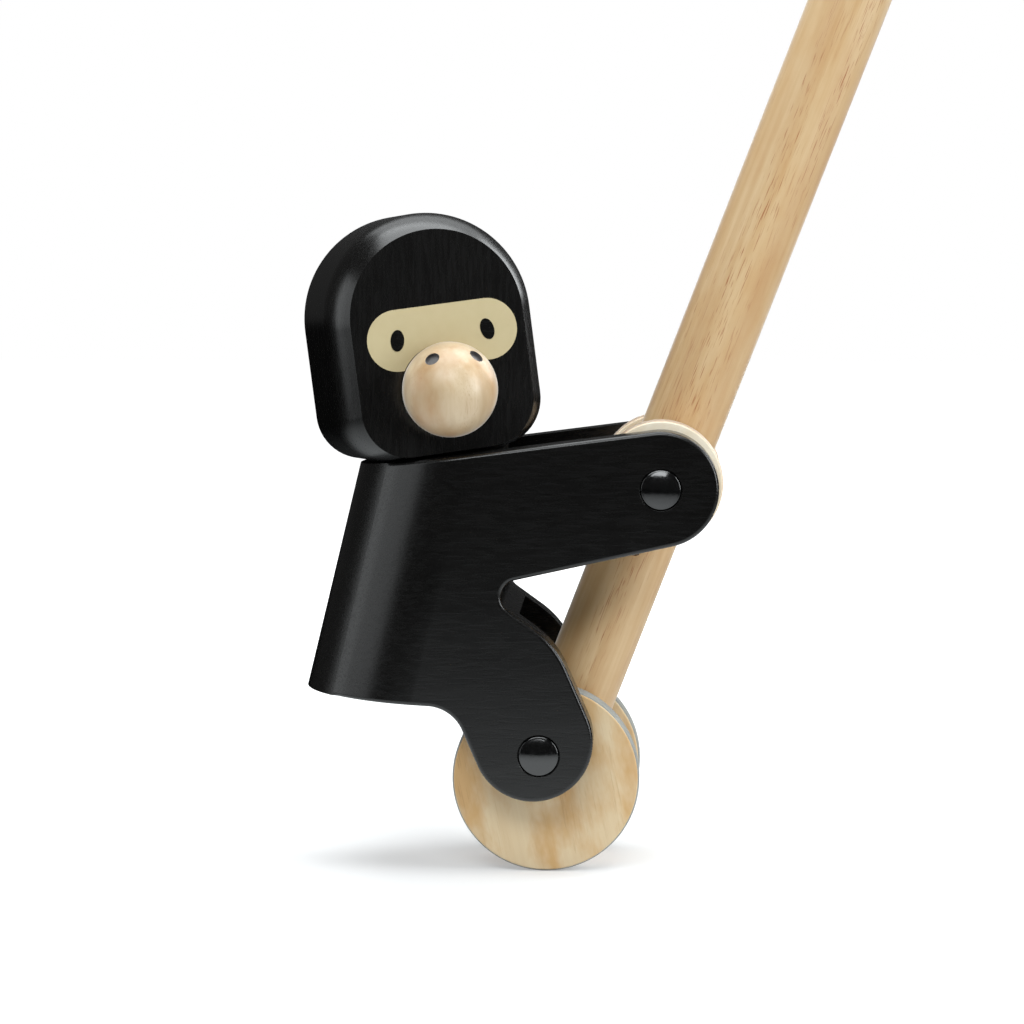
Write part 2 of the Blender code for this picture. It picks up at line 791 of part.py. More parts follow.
nose = place("nose_ball", ball(NOSE_DIAMETER), PALE_WOOD, head_axis, nose_matrix)
dowel_in_ball = rod(
    NOSE_DOWEL_DIAMETER + 2 * FIT_GAP,
    -NOSE_DIAMETER,
    -nose_radius + NOSE_DOWEL_IN_BALL + FIT_GAP,
)
ball_bore = cutter("ball_bore_cut", dowel_in_ball, head_axis, nose_matrix)
boolean(nose, ball_bore)
for nostril_name, across_face in (("right", -1), ("left", 1)):
    aim = (
        Matrix.Rotation(NOSE_TURN + across_face * NOSTRIL_SIDE, 4, "Y")
        @ Matrix.Rotation(-NOSTRIL_RISE, 4, "X")
    )
    drill = rod(NOSTRIL_DIAMETER, nose_radius - NOSTRIL_DEPTH, NOSE_DIAMETER)
    nostril = cutter("nostril_cut_" + nostril_name, drill, head_axis, nose_matrix @ aim)
    boolean(nose, nostril)
place(
    "nose_dowel",
    rod(
        NOSE_DOWEL_DIAMETER,
        -nose_radius - NOSE_DOWEL_IN_HEAD,
        -nose_radius + NOSE_DOWEL_IN_BALL,
    ),
    PALE_WOOD,
    head_axis,
    nose_matrix,
)
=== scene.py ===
"""Looks of the wooden gorilla on a push stick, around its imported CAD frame."""

import math

import bmesh
import bpy
from mathutils import Matrix, Vector


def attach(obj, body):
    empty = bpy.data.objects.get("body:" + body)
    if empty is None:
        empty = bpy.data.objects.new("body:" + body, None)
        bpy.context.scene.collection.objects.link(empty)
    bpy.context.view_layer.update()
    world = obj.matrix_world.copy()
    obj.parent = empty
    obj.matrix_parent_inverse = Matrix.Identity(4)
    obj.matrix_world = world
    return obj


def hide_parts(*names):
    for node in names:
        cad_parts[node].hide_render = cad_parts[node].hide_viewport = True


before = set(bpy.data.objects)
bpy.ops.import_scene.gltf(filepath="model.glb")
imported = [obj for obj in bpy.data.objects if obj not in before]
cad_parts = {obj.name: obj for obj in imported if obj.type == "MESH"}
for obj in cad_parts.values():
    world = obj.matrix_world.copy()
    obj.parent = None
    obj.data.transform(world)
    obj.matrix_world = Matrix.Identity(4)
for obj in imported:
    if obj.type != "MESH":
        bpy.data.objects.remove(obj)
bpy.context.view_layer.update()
scene = bpy.context.scene
scene.view_settings.view_transform = "Standard"

# Camera
# It faces the gorilla's right side from 0.87 m, a little above its head, and looks
# slightly down, as fitted to the photograph.

CAMERA_PLACE = (0.02673, -0.86514, 0.16634)
CAMERA_TURN = (math.radians(84.97), 0, math.radians(2.39))
CAMERA_SENSOR = 36.0
CAMERA_LENS = 118.29
CAMERA_NEAR = 0.01

bpy.ops.object.camera_add(location=CAMERA_PLACE, rotation=CAMERA_TURN)
camera = bpy.context.object
camera.data.sensor_width = CAMERA_SENSOR
camera.data.lens = CAMERA_LENS
camera.data.clip_start = CAMERA_NEAR
scene.camera = camera

# Push stick
# A round dowel of pale rubberwood, sanded smooth and left bare. A slot is cut along it for
# the arm pin, and a hole is bored across its foot for the axle.

STICK_RADIUS = 0.0100
STICK_LEAN = math.radians(21.2)
STICK_ABOVE_AXLE = 0.4950
STICK_BELOW_AXLE = 0.0110
STICK_END_ROUND = 0.0045
STICK_EASE = 0.0002
TENON_RADIUS = 0.0060
TENON_LENGTH = 0.0180
AXLE_HEIGHT = 0.0238
AXLE_RADIUS = 0.0030
SLOT_HALF_WIDTH = 0.0018
SLOT_LOW = 0.0621
SLOT_HIGH = 0.0853
FIT_GAP = 0.0003
WELD_GAP = 0.000001
SHADE_ANGLE = math.radians(32)
UNTURNED = (0, 0, 0)
ALONG_Y = (math.radians(90), 0, 0)

lean = Matrix.Rotation(STICK_LEAN, 4, "Y")
stick_place = Matrix.Translation((0, 0, AXLE_HEIGHT)) @ lean
lay_along_y = Matrix.Rotation(-math.pi / 2, 4, "X")


def choose(test):
    """Select, in edit mode, the points of the open mesh that pass a test of their place."""
    bpy.ops.mesh.select_mode(type="VERT")
    bpy.ops.mesh.select_all(action="DESELECT")
    mesh = bmesh.from_edit_mesh(bpy.context.edit_object.data)
    for vertex in mesh.verts:
        vertex.select = test(vertex.co)
    mesh.select_flush_mode()
    bmesh.update_edit_mesh(bpy.context.edit_object.data)


def pen_down(name, x, z, y=0):
    """Begin a drawing in the XZ plane: a plane drawn in to the one point it starts from."""
    bpy.ops.object.select_all(action="DESELECT")
    bpy.ops.mesh.primitive_plane_add(size=FIT_GAP)
    bpy.context.object.name = name
    bpy.context.object.data.name = name
    bpy.ops.object.mode_set(mode="EDIT")
    bpy.ops.mesh.select_mode(type="VERT")
    bpy.ops.mesh.select_all(action="SELECT")
    bpy.ops.mesh.merge(type="CENTER")
    bpy.ops.transform.translate(value=(x, y, z))


def pen_point():
    """Where the drawing's last point is."""
    mesh = bmesh.from_edit_mesh(bpy.context.edit_object.data)
    return next(vertex.co.copy() for vertex in mesh.verts if vertex.select)


def pen_line(x, z):
    """Draw a straight line to a point."""
    here = pen_point()
    bpy.ops.mesh.extrude_region_move(
        TRANSFORM_OT_translate={"value": (x - here.x, 0, z - here.z)}
    )


def pen_arc(x, z, turn, steps):
    """Draw an arc about a centre. A positive turn runs from +X towards +Z."""
    centre = (x, pen_point().y, z)
    bpy.ops.mesh.spin(steps=steps, angle=turn, center=centre, axis=(0, 1, 0))


def pen_up():
    """Close the drawing's first and last points together and leave edit mode."""
    bpy.ops.mesh.select_all(action="SELECT")
    bpy.ops.mesh.remove_doubles(threshold=WELD_GAP)
    bpy.ops.object.mode_set(mode="OBJECT")
    return bpy.context.object


def turn_on_lathe(steps):
    """Spin the open half-section about Z into a closed round body."""
    bpy.ops.mesh.select_all(action="SELECT")
    bpy.ops.mesh.spin(steps=steps, angle=2 * math.pi, center=(0, 0, 0), axis=(0, 0, 1))
    bpy.ops.mesh.select_all(action="SELECT")
    bpy.ops.mesh.remove_doubles(threshold=2 * WELD_GAP)
    bpy.ops.mesh.normals_make_consistent(inside=False)
    bpy.ops.object.mode_set(mode="OBJECT")
    return bpy.context.object


def thicken(depth):
    """Fill the closed drawing and extrude it along Y."""
    bpy.ops.mesh.select_all(action="SELECT")
    bpy.ops.mesh.remove_doubles(threshold=WELD_GAP)
    bpy.ops.mesh.edge_face_add()
    bpy.ops.mesh.extrude_region_move(TRANSFORM_OT_translate={"value": (0, depth, 0)})
    bpy.ops.mesh.select_all(action="SELECT")
    bpy.ops.mesh.normals_make_consistent(inside=False)
    bpy.ops.object.mode_set(mode="OBJECT")
    return bpy.context.object


def set_in_place(piece, matrix):
    """Move a piece's mesh to its place and leave its object at the origin."""
    bpy.ops.object.select_all(action="DESELECT")
    piece.select_set(True)
    bpy.context.view_layer.objects.active = piece
    piece.matrix_world = matrix @ piece.matrix_world
    bpy.ops.object.transform_apply(location=True, rotation=True, scale=True)
    if matrix.determinant() < 0:
        bpy.ops.object.mode_set(mode="EDIT")
        bpy.ops.mesh.select_all(action="SELECT")
        bpy.ops.mesh.normals_make_consistent(inside=False)
        bpy.ops.object.mode_set(mode="OBJECT")


def cut(piece, tool, operation="DIFFERENCE"):
    """Cut a piece with a tool."""
    bpy.ops.object.select_all(action="DESELECT")
    piece.select_set(True)
    bpy.context.view_layer.objects.active = piece
    step = piece.modifiers.new("cut", "BOOLEAN")
    step.operation = operation
    step.solver = "EXACT"
    step.object = tool
    bpy.ops.object.modifier_apply(modifier="cut")


def drop(tool):
    """Put a used tool away."""
    bpy.data.objects.remove(tool, do_unlink=True)


def copy_piece(piece, name):
    """A second piece with a mesh of its own."""
    bpy.ops.object.select_all(action="DESELECT")
    piece.select_set(True)
    bpy.context.view_layer.objects.active = piece
    bpy.ops.object.duplicate(linked=False)
    bpy.context.object.name = name
    bpy.context.object.data.name = name
    return bpy.context.object


def ease(piece, width):
    """Round a piece's sharp edges with a small radius."""
    bpy.ops.object.select_all(action="DESELECT")
    piece.select_set(True)
    bpy.context.view_layer.objects.active = piece
    step = piece.modifiers.new("eased", "BEVEL")
    step.limit_method = "ANGLE"
    step.angle_limit = SHADE_ANGLE
    step.width = width
    step.segments = 2
    bpy.ops.object.modifier_apply(modifier="eased")


def finish_piece(piece, look, body, slot, *nodes):
    """Shade a piece, give it its material, and let it ride in place of its CAD node."""
    bpy.ops.object.select_all(action="DESELECT")
    piece.select_set(True)
    bpy.context.view_layer.objects.active = piece
    bpy.ops.object.shade_smooth_by_angle(angle=SHADE_ANGLE)
    weighted = piece.modifiers.new("weighted", "WEIGHTED_NORMAL")
    weighted.keep_sharp = True
    bpy.ops.object.modifier_apply(modifier="weighted")
    piece.data.materials.clear()
    piece.data.materials.append(look)
    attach(piece, body)
    if nodes:
        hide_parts(*nodes)


pen_down("stick", 0, -STICK_BELOW_AXLE)
pen_line(STICK_RADIUS - STICK_END_ROUND, -STICK_BELOW_AXLE)
pen_arc(
    STICK_RADIUS - STICK_END_ROUND,
    STICK_END_ROUND - STICK_BELOW_AXLE,
    math.pi / 2,
    steps=10,
)
pen_line(STICK_RADIUS, STICK_ABOVE_AXLE)
pen_line(TENON_RADIUS, STICK_ABOVE_AXLE)
pen_line(TENON_RADIUS, STICK_ABOVE_AXLE + TENON_LENGTH)
pen_line(0, STICK_ABOVE_AXLE + TENON_LENGTH)
stick = turn_on_lathe(steps=96)

pen_down("slot_tool", SLOT_HALF_WIDTH, SLOT_LOW, -2 * STICK_RADIUS)
pen_line(SLOT_HALF_WIDTH, SLOT_HIGH)
pen_arc(0, SLOT_HIGH, math.pi, steps=16)
pen_line(-SLOT_HALF_WIDTH, SLOT_LOW)
pen_arc(0, SLOT_LOW, math.pi, steps=16)
slot_tool = thicken(4 * STICK_RADIUS)
cut(stick, slot_tool)
drop(slot_tool)

pen_down("axle_tool", 0, -2 * STICK_RADIUS)
pen_line(AXLE_RADIUS + FIT_GAP, -2 * STICK_RADIUS)
pen_line(AXLE_RADIUS + FIT_GAP, 2 * STICK_RADIUS)
pen_line(0, 2 * STICK_RADIUS)
axle_tool = turn_on_lathe(steps=32)
set_in_place(axle_tool, lay_along_y)
cut(stick, axle_tool)
drop(axle_tool)
ease(stick, STICK_EASE)
set_in_place(stick, stick_place)


NOISE_MIDDLE = (0.3, 0.7)
FINE_DEPTH = 0.0001


def shader_of(made):
    """The material's Principled shader and the means to add nodes beside it."""
    made.use_nodes = True
    tree = made.node_tree
    return tree, tree.nodes["Principled BSDF"]


def add(tree, kind, **settings):
    """Add a node and set its properties or, by their names, its inputs."""
    node = tree.nodes.new(kind)
    for name, value in settings.items():
        if hasattr(node, name):
            setattr(node, name, value)
        else:
            node.inputs[name.replace("_", " ")].default_value = value
    return node


def mapped(tree, turn=UNTURNED, scale=(1, 1, 1), place=(0, 0, 0)):
    """Object coordinates, turned and stretched for a pattern that runs along a grain."""
    coordinates = add(tree, "ShaderNodeTexCoord")
    mapping = add(tree, "ShaderNodeMapping")
    mapping.vector_type = "TEXTURE"
    mapping.inputs["Location"].default_value = place
    mapping.inputs["Rotation"].default_value = turn
    stretch = add(tree, "ShaderNodeMapping")
    stretch.inputs["Scale"].default_value = scale
    tree.links.new(coordinates.outputs["Object"], mapping.inputs["Vector"])
    tree.links.new(mapping.outputs["Vector"], stretch.inputs["Vector"])
    return stretch.outputs["Vector"]


def noise(tree, vector, scale, detail=4.0, rough=0.55, bend=0.0):
    """Noise on a mapped vector."""
    node = add(tree, "ShaderNodeTexNoise", Scale=scale, Detail=detail, Distortion=bend)
    node.inputs["Roughness"].default_value = rough
    tree.links.new(vector, node.inputs["Vector"])
    return node.outputs["Fac"]


def ramp(tree, value, stops):
    """A colour ramp whose stops are (place, colour)."""
    node = add(tree, "ShaderNodeValToRGB")
    elements = node.color_ramp.elements
    while len(elements) < len(stops):
        elements.new(0.5)
    for element, (place, colour) in zip(elements, stops):
        element.position = place
        element.color = (*colour, 1.0)
    tree.links.new(value, node.inputs["Fac"])
    return node.outputs["Color"]


def blend(tree, value, low, high):
    """Go from one colour to another over the middle of a noise's range."""
    return ramp(tree, value, list(zip(NOISE_MIDDLE, (low, high))))


def range_of(tree, value, low, high, to_low, to_high):
    """Carry a value from one range to another, held at its ends."""
    node = add(tree, "ShaderNodeMapRange")
    for name, number in (
        ("From Min", low),
        ("From Max", high),
        ("To Min", to_low),
        ("To Max", to_high),
    ):
        node.inputs[name].default_value = number
    tree.links.new(value, node.inputs["Value"])
    return node.outputs["Result"]


def mixed(tree, blend, share, first, second):
    """Mix two colours by a share, each given as an output or a plain colour."""
    node = add(tree, "ShaderNodeMix")
    node.data_type = "RGBA"
    node.blend_type = blend
    for socket, value in (
        (node.inputs["Factor"], share),
        (node.inputs[6], first),
        (node.inputs[7], second),
    ):
        if isinstance(value, bpy.types.NodeSocket):
            tree.links.new(value, socket)
        elif isinstance(value, tuple):
            socket.default_value = (*value, 1.0)
        else:
            socket.default_value = value
    return node.outputs[2]


def bumped(tree, shader, height, strength, distance):
    """Raise the surface by a height."""
    node = add(tree, "ShaderNodeBump", Strength=strength, Distance=distance)
    tree.links.new(height, node.inputs["Height"])
    tree.links.new(node.outputs["Normal"], shader.inputs["Normal"])


BAND_SCALE, BAND_STRETCH = 110, 0.06
BAND_STOPS = (0.30, 0.50, 0.70)
FIBRE_SCALE, FIBRE_STRETCH, FIBRE_SHARE = 620, 0.035, 0.45
FIBRE_RANGE = (0.40, 0.75)
PORE_SCALE, PORE_STRETCH = 3900, 0.04
PORE_RANGE = (0.58, 0.68)
PATCH_SCALE = 150
PATCH_RANGE = (0.46, 0.60)
STAIN_SCALE, STAIN_STRETCH = 95, 0.45
STAIN_RANGE = (0.44, 0.64)
STAIN_COLOUR = (0.840, 0.640, 0.400)
WOOD_SMOOTH, WOOD_ROUGH = 0.36, 0.48
WOOD_SHEEN, WOOD_SHEEN_ROUGHNESS = 0.8, 0.3
PORE_STRENGTH, PORE_DEPTH = 0.12, 0.0002


def wood(
    name, pale, tan, brown, turn, place=(0, 0, 0), figure=1.0, pores=0.9, stain=0.3
):
    """Bare wood whose grain runs along the local Z that the turn gives.

    The figure sets how fine its pale and tan bands are, and pores and stain how strong
    its brown pore streaks and its darker clouds.
    """
    made = bpy.data.materials.new(name)
    tree, shader = shader_of(made)
    broad = mapped(tree, turn, (1.0, 1.0, BAND_STRETCH), place)
    fine = mapped(tree, turn, (1.0, 1.0, FIBRE_STRETCH), place)
    long_specks = mapped(tree, turn, (1.0, 1.0, PORE_STRETCH), place)
    short_clouds = mapped(tree, turn, (1.0, 1.0, STAIN_STRETCH), place)
    bands = noise(tree, broad, BAND_SCALE * figure, detail=3.0, rough=0.5, bend=0.4)
    tone = ramp(tree, bands, list(zip(BAND_STOPS, (tan, pale, tan))))
    fibres = noise(tree, fine, FIBRE_SCALE, detail=3.0, rough=0.6)
    fibre_share = range_of(tree, fibres, *FIBRE_RANGE, 0.0, FIBRE_SHARE)
    tone = mixed(tree, "MIX", fibre_share, tone, tan)
    specks = noise(tree, long_specks, PORE_SCALE, detail=2.0, rough=0.5)
    speck_mask = range_of(tree, specks, *PORE_RANGE, 0.0, pores)
    patches = noise(tree, broad, PATCH_SCALE, detail=2.0, rough=0.5)
    patch_mask = range_of(tree, patches, *PATCH_RANGE, 0.0, 1.0)
    streaks = add(tree, "ShaderNodeMath", operation="MULTIPLY")
    tree.links.new(speck_mask, streaks.inputs[0])
    tree.links.new(patch_mask, streaks.inputs[1])
    colour = mixed(tree, "MIX", streaks.outputs[0], tone, brown)
    clouds = noise(tree, short_clouds, STAIN_SCALE, detail=4.0, rough=0.6)
    cloud_share = range_of(tree, clouds, *STAIN_RANGE, 0.0, stain)
    colour = mixed(tree, "MULTIPLY", cloud_share, colour, STAIN_COLOUR)
    tree.links.new(colour, shader.inputs["Base Color"])
    roughness = range_of(tree, specks, *NOISE_MIDDLE, WOOD_SMOOTH, WOOD_ROUGH)
    tree.links.new(roughness, shader.inputs["Roughness"])
    shader.inputs["Sheen Weight"].default_value = WOOD_SHEEN
    shader.inputs["Sheen Roughness"].default_value = WOOD_SHEEN_ROUGHNESS
    bumped(tree, shader, specks, PORE_STRENGTH, PORE_DEPTH)
    return made


STICK_TURN = (0, STICK_LEAN, 0)
stick_wood = wood(
    "stick_wood",
    pale=(0.610, 0.440, 0.245),
    tan=(0.495, 0.300, 0.132),
    brown=(0.330, 0.110, 0.030),
    turn=STICK_TURN,
)
finish_piece(stick, stick_wood, "push_handle", "stick_wood", "push_stick")

# Knob
# A turned grip of the same wood, glued on the tenon at the stick's top end. The photograph
# cuts it off, so its ball and collar are what such toys have.

KNOB_RADIUS = 0.0175
KNOB_LENGTH = 0.0300
KNOB_COLLAR_RADIUS = 0.0120
KNOB_FLAT_RADIUS = 0.0060
KNOB_EDGE = 0.0008

knob_low = STICK_ABOVE_AXLE + FIT_GAP
knob_middle = knob_low + KNOB_LENGTH - math.sqrt(KNOB_RADIUS**2 - KNOB_FLAT_RADIUS**2)
ball_start = -math.acos(KNOB_COLLAR_RADIUS / KNOB_RADIUS)
ball_end = math.acos(KNOB_FLAT_RADIUS / KNOB_RADIUS)
bore_top = STICK_ABOVE_AXLE + TENON_LENGTH + FIT_GAP
pen_down("knob", 0, bore_top)
pen_line(TENON_RADIUS + FIT_GAP, bore_top)
pen_line(TENON_RADIUS + FIT_GAP, knob_low)
pen_line(KNOB_COLLAR_RADIUS - KNOB_EDGE, knob_low)
pen_arc(KNOB_COLLAR_RADIUS - KNOB_EDGE, knob_low + KNOB_EDGE, math.pi / 2, steps=4)
pen_line(
    KNOB_RADIUS * math.cos(ball_start), knob_middle + KNOB_RADIUS * math.sin(ball_start)
)
pen_arc(0, knob_middle, ball_end - ball_start, steps=32)
pen_line(0, knob_low + KNOB_LENGTH)
knob = turn_on_lathe(steps=96)
set_in_place(knob, stick_place)
knob_wood = wood(
    "knob_wood",
    pale=(0.650, 0.450, 0.262),
    tan=(0.565, 0.370, 0.200),
    brown=(0.290, 0.145, 0.062),
    turn=STICK_TURN,
    place=(0.03, 0.02, 0.01),
)
finish_piece(knob, knob_wood, "push_handle", "stick_wood", "stick_knob")

# Wheels and axle
# Two discs cut across a board of pale wood, glued to a dowel that turns in the stick.
# Each has a blind hole for its leg peg and a groove round its rim for a rubber ring.

WHEEL_RADIUS = 0.0234
WHEEL_INNER = 0.0106
WHEEL_OUTER = 0.0196
WHEEL_EDGE = 0.0004
GROOVE_RADIUS = 0.0223
GROOVE_HALF = 0.0040
CRANK_RADIUS = 0.0076
CRANK_FROM_STICK = math.radians(32.4)
PEG_HOLE_RADIUS = 0.0028
PEG_HOLE_DEPTH = 0.0070

wheel_middle = (WHEEL_INNER + WHEEL_OUTER) / 2
pen_down("wheel_right", AXLE_RADIUS + FIT_GAP, WHEEL_INNER)
pen_line(WHEEL_RADIUS - WHEEL_EDGE, WHEEL_INNER)
pen_arc(WHEEL_RADIUS - WHEEL_EDGE, WHEEL_INNER + WHEEL_EDGE, math.pi / 2, steps=3)
pen_line(WHEEL_RADIUS, wheel_middle - GROOVE_HALF)
pen_line(GROOVE_RADIUS, wheel_middle - GROOVE_HALF)
pen_line(GROOVE_RADIUS, wheel_middle + GROOVE_HALF)
pen_line(WHEEL_RADIUS, wheel_middle + GROOVE_HALF)
pen_line(WHEEL_RADIUS, WHEEL_OUTER - WHEEL_EDGE)
pen_arc(WHEEL_RADIUS - WHEEL_EDGE, WHEEL_OUTER - WHEEL_EDGE, math.pi / 2, steps=3)
pen_line(AXLE_RADIUS + FIT_GAP, WHEEL_OUTER)
pen_line(AXLE_RADIUS + FIT_GAP, WHEEL_INNER)
wheel_right = turn_on_lathe(steps=128)

crank_turn = math.pi / 2 - STICK_LEAN + CRANK_FROM_STICK
crank_x = CRANK_RADIUS * math.cos(crank_turn)
crank_z = CRANK_RADIUS * math.sin(crank_turn)
pen_down("peg_tool", 0, WHEEL_OUTER - PEG_HOLE_DEPTH)
pen_line(PEG_HOLE_RADIUS, WHEEL_OUTER - PEG_HOLE_DEPTH)
pen_line(PEG_HOLE_RADIUS, WHEEL_OUTER + PEG_HOLE_DEPTH)
pen_line(0, WHEEL_OUTER + PEG_HOLE_DEPTH)
peg_tool = turn_on_lathe(steps=32)
set_in_place(peg_tool, Matrix.Translation((crank_x, crank_z, 0)))
cut(wheel_right, peg_tool)
drop(peg_tool)
wheel_left = copy_piece(wheel_right, "wheel_left")
wheel_place = Matrix.Translation((0, 0, AXLE_HEIGHT))
to_right = Matrix.Rotation(math.pi / 2, 4, "X")
to_left = Matrix.Diagonal((1, -1, 1, 1)) @ to_right
set_in_place(wheel_right, wheel_place @ to_right)
set_in_place(wheel_left, wheel_place @ to_left)
wheel_wood = wood(
    "wheel_wood",
    pale=(0.730, 0.585, 0.375),
    tan=(0.650, 0.475, 0.270),
    brown=(0.440, 0.265, 0.115),
    turn=(0, math.radians(-12), 0),
    figure=0.5,
    pores=0.35,
    stain=0.9,
)
finish_piece(wheel_right, wheel_wood, "wheelset", "wheel_wood", "wheel_right")
finish_piece(wheel_left, wheel_wood, "wheelset", "wheel_wood", "wheel_left")

# Rubber rings
# Flat grey rubber bands that snap into the wheels' grooves. They stand a little proud of
# the wood and grip the floor.

TYRE_RADIUS = 0.0238
TYRE_HALF = 0.0037
TYRE_EDGE = 0.0006
SPECKLE_SCALE, SPECKLE_STRENGTH = 1400, 0.25
RUBBER_DUST_SCALE = 120
RUBBER_DARK = (0.275, 0.280, 0.262)
RUBBER_PALE = (0.335, 0.340, 0.320)
RUBBER_SMOOTH, RUBBER_ROUGH = 0.62, 0.78

tyre_inner = GROOVE_RADIUS + FIT_GAP
pen_down("tyre_right", tyre_inner, wheel_middle - TYRE_HALF)
pen_line(TYRE_RADIUS - TYRE_EDGE, wheel_middle - TYRE_HALF)
pen_arc(TYRE_RADIUS - TYRE_EDGE, wheel_middle - TYRE_HALF + TYRE_EDGE, math.pi / 2, steps=5)
pen_line(TYRE_RADIUS, wheel_middle + TYRE_HALF - TYRE_EDGE)
pen_arc(TYRE_RADIUS - TYRE_EDGE, wheel_middle + TYRE_HALF - TYRE_EDGE, math.pi / 2, steps=5)
pen_line(tyre_inner, wheel_middle + TYRE_HALF)
pen_line(tyre_inner, wheel_middle - TYRE_HALF)
tyre_right = turn_on_lathe(steps=160)
tyre_left = copy_piece(tyre_right, "tyre_left")
set_in_place(tyre_right, wheel_place @ to_right)
set_in_place(tyre_left, wheel_place @ to_left)

rubber = bpy.data.materials.new("grey_rubber")
tree, shader = shader_of(rubber)
speckle = noise(tree, mapped(tree), SPECKLE_SCALE, detail=3.0)
dust = noise(tree, mapped(tree), RUBBER_DUST_SCALE, detail=3.0)
grey = blend(tree, dust, RUBBER_DARK, RUBBER_PALE)
roughness = range_of(tree, speckle, *NOISE_MIDDLE, RUBBER_SMOOTH, RUBBER_ROUGH)
tree.links.new(grey, shader.inputs["Base Color"])
tree.links.new(roughness, shader.inputs["Roughness"])
bumped(tree, shader, speckle, SPECKLE_STRENGTH, FINE_DEPTH)
finish_piece(tyre_right, rubber, "wheelset", "grey_rubber", "tyre_right")
finish_piece(tyre_left, rubber, "wheelset", "grey_rubber", "tyre_left")

# Spacer discs
# Thin discs of the palest wood on the arm pin, which hold the arms off the stick. Each is
# bored a little below its middle.

DISC_RADIUS = 0.0157
DISC_RISE = 0.0008
DISC_EDGE = 0.0005
# The rim band is painted brown: partly the disc's darker end grain, partly painted shade
# for the shadow that falls on it between arm and stick.
RIM_GRAIN_AND_SHADE_WIDTH = 0.0003
RIM_GRAIN_AND_SHADE_COLOUR = (0.480, 0.280, 0.130)
RIM_SHARE = 0.8
ARM_PIN_BORE = 0.0018
PEG_FROM_PIN = 0.0737
BOARD_OUTER = 0.0302

pin_from_axle = CRANK_RADIUS * math.cos(CRANK_FROM_STICK) + math.sqrt(
    PEG_FROM_PIN**2 - (CRANK_RADIUS * math.sin(CRANK_FROM_STICK)) ** 2
)
pin_x = pin_from_axle * math.sin(STICK_LEAN)
pin_z = AXLE_HEIGHT + pin_from_axle * math.cos(STICK_LEAN)
pin_place = Matrix.Translation((pin_x, 0, pin_z))
disc_middle = (pin_x, 0, pin_z + DISC_RISE)
pen_down("disc_right", 0, WHEEL_INNER)
pen_line(DISC_RADIUS - DISC_EDGE, WHEEL_INNER)
pen_arc(DISC_RADIUS - DISC_EDGE, WHEEL_INNER + DISC_EDGE, math.pi / 2, steps=4)
pen_line(DISC_RADIUS, WHEEL_OUTER - DISC_EDGE)
pen_arc(DISC_RADIUS - DISC_EDGE, WHEEL_OUTER - DISC_EDGE, math.pi / 2, steps=4)
pen_line(0, WHEEL_OUTER)
disc_right = turn_on_lathe(steps=128)
set_in_place(disc_right, Matrix.Translation((0, DISC_RISE, 0)))
pen_down("bore_tool", 0, 0)
pen_line(ARM_PIN_BORE, 0)
pen_line(ARM_PIN_BORE, BOARD_OUTER)
pen_line(0, BOARD_OUTER)
bore_tool = turn_on_lathe(steps=40)
cut(disc_right, bore_tool)
drop(bore_tool)
disc_left = copy_piece(disc_right, "disc_left")
set_in_place(disc_right, pin_place @ to_right)
set_in_place(disc_left, pin_place @ to_left)
disc_wood = wood(
    "disc_wood",
    pale=(0.930, 0.840, 0.680),
    tan=(0.880, 0.760, 0.570),
    brown=(0.560, 0.380, 0.200),
    turn=ALONG_Y,
    figure=0.8,
    pores=0.3,
    stain=0.2,
)
# Paint the outer rim brown, partly as darker end grain and partly as painted shade.
tree, shader = shader_of(disc_wood)
from_middle = mapped(tree, UNTURNED, (1, 0, 1), disc_middle)
distance = add(tree, "ShaderNodeVectorMath", operation="LENGTH")
tree.links.new(from_middle, distance.inputs[0])
rim_share = range_of(
    tree, distance.outputs["Value"], DISC_RADIUS - RIM_GRAIN_AND_SHADE_WIDTH, DISC_RADIUS, 0.0, RIM_SHARE
)
face_colour = shader.inputs["Base Color"].links[0].from_socket
disc_colour = mixed(tree, "MIX", rim_share, face_colour, RIM_GRAIN_AND_SHADE_COLOUR)
tree.links.new(disc_colour, shader.inputs["Base Color"])
finish_piece(disc_right, disc_wood, "arm_slide", "pale_wood", "spacer_disc_right")
finish_piece(disc_left, disc_wood, "arm_slide", "pale_wood", "spacer_disc_left")

# Arm caps and leg pegs
# Glossy black plastic heads, turned with a shallow dome. The arm pin is pressed into the
# arm caps, and each leg peg is one piece with the shank that holds the leg to its wheel.

CAP_RADIUS = 0.0050
CAP_UNDER = 0.0265
CAP_PROUD = 0.0010
CAP_RISE = 0.0013
CAP_EDGE = 0.00035
PIN_IN_CAP = 0.0025
BOARD_INNER = 0.0202
PEG_RADIUS = 0.0025
HAZE_SCALE, HAZE_STRENGTH = 900, 0.15
HAZE_RANGE = (0.3, 0.8)
CAP_DEEP = (0.0015, 0.0015, 0.0015)
CAP_BLACK = (0.0030, 0.0030, 0.0032)
CAP_SMOOTH, CAP_ROUGH = 0.08, 0.20
CAP_GLOSS = 0.9


def cap_dome():
    """Draw a cap's side, rounded rim and dome up to its middle."""
    crown = BOARD_OUTER + CAP_PROUD
    rim = CAP_RADIUS - CAP_EDGE
    rise = CAP_RISE - CAP_EDGE
    curve = (rim**2 + rise**2) / (2 * rise)
    pen_line(CAP_RADIUS, crown - CAP_RISE)
    pen_arc(rim, crown - CAP_RISE, math.pi / 2, steps=4)
    pen_arc(0, crown - curve, math.asin(rim / curve), steps=14)


pen_down("arm_cap_right", 0, CAP_UNDER + PIN_IN_CAP)
pen_line(ARM_PIN_BORE, CAP_UNDER + PIN_IN_CAP)
pen_line(ARM_PIN_BORE, CAP_UNDER)
pen_line(CAP_RADIUS, CAP_UNDER)
cap_dome()
arm_cap_right = turn_on_lathe(steps=64)
arm_cap_left = copy_piece(arm_cap_right, "arm_cap_left")
set_in_place(arm_cap_right, pin_place @ to_right)
set_in_place(arm_cap_left, pin_place @ to_left)

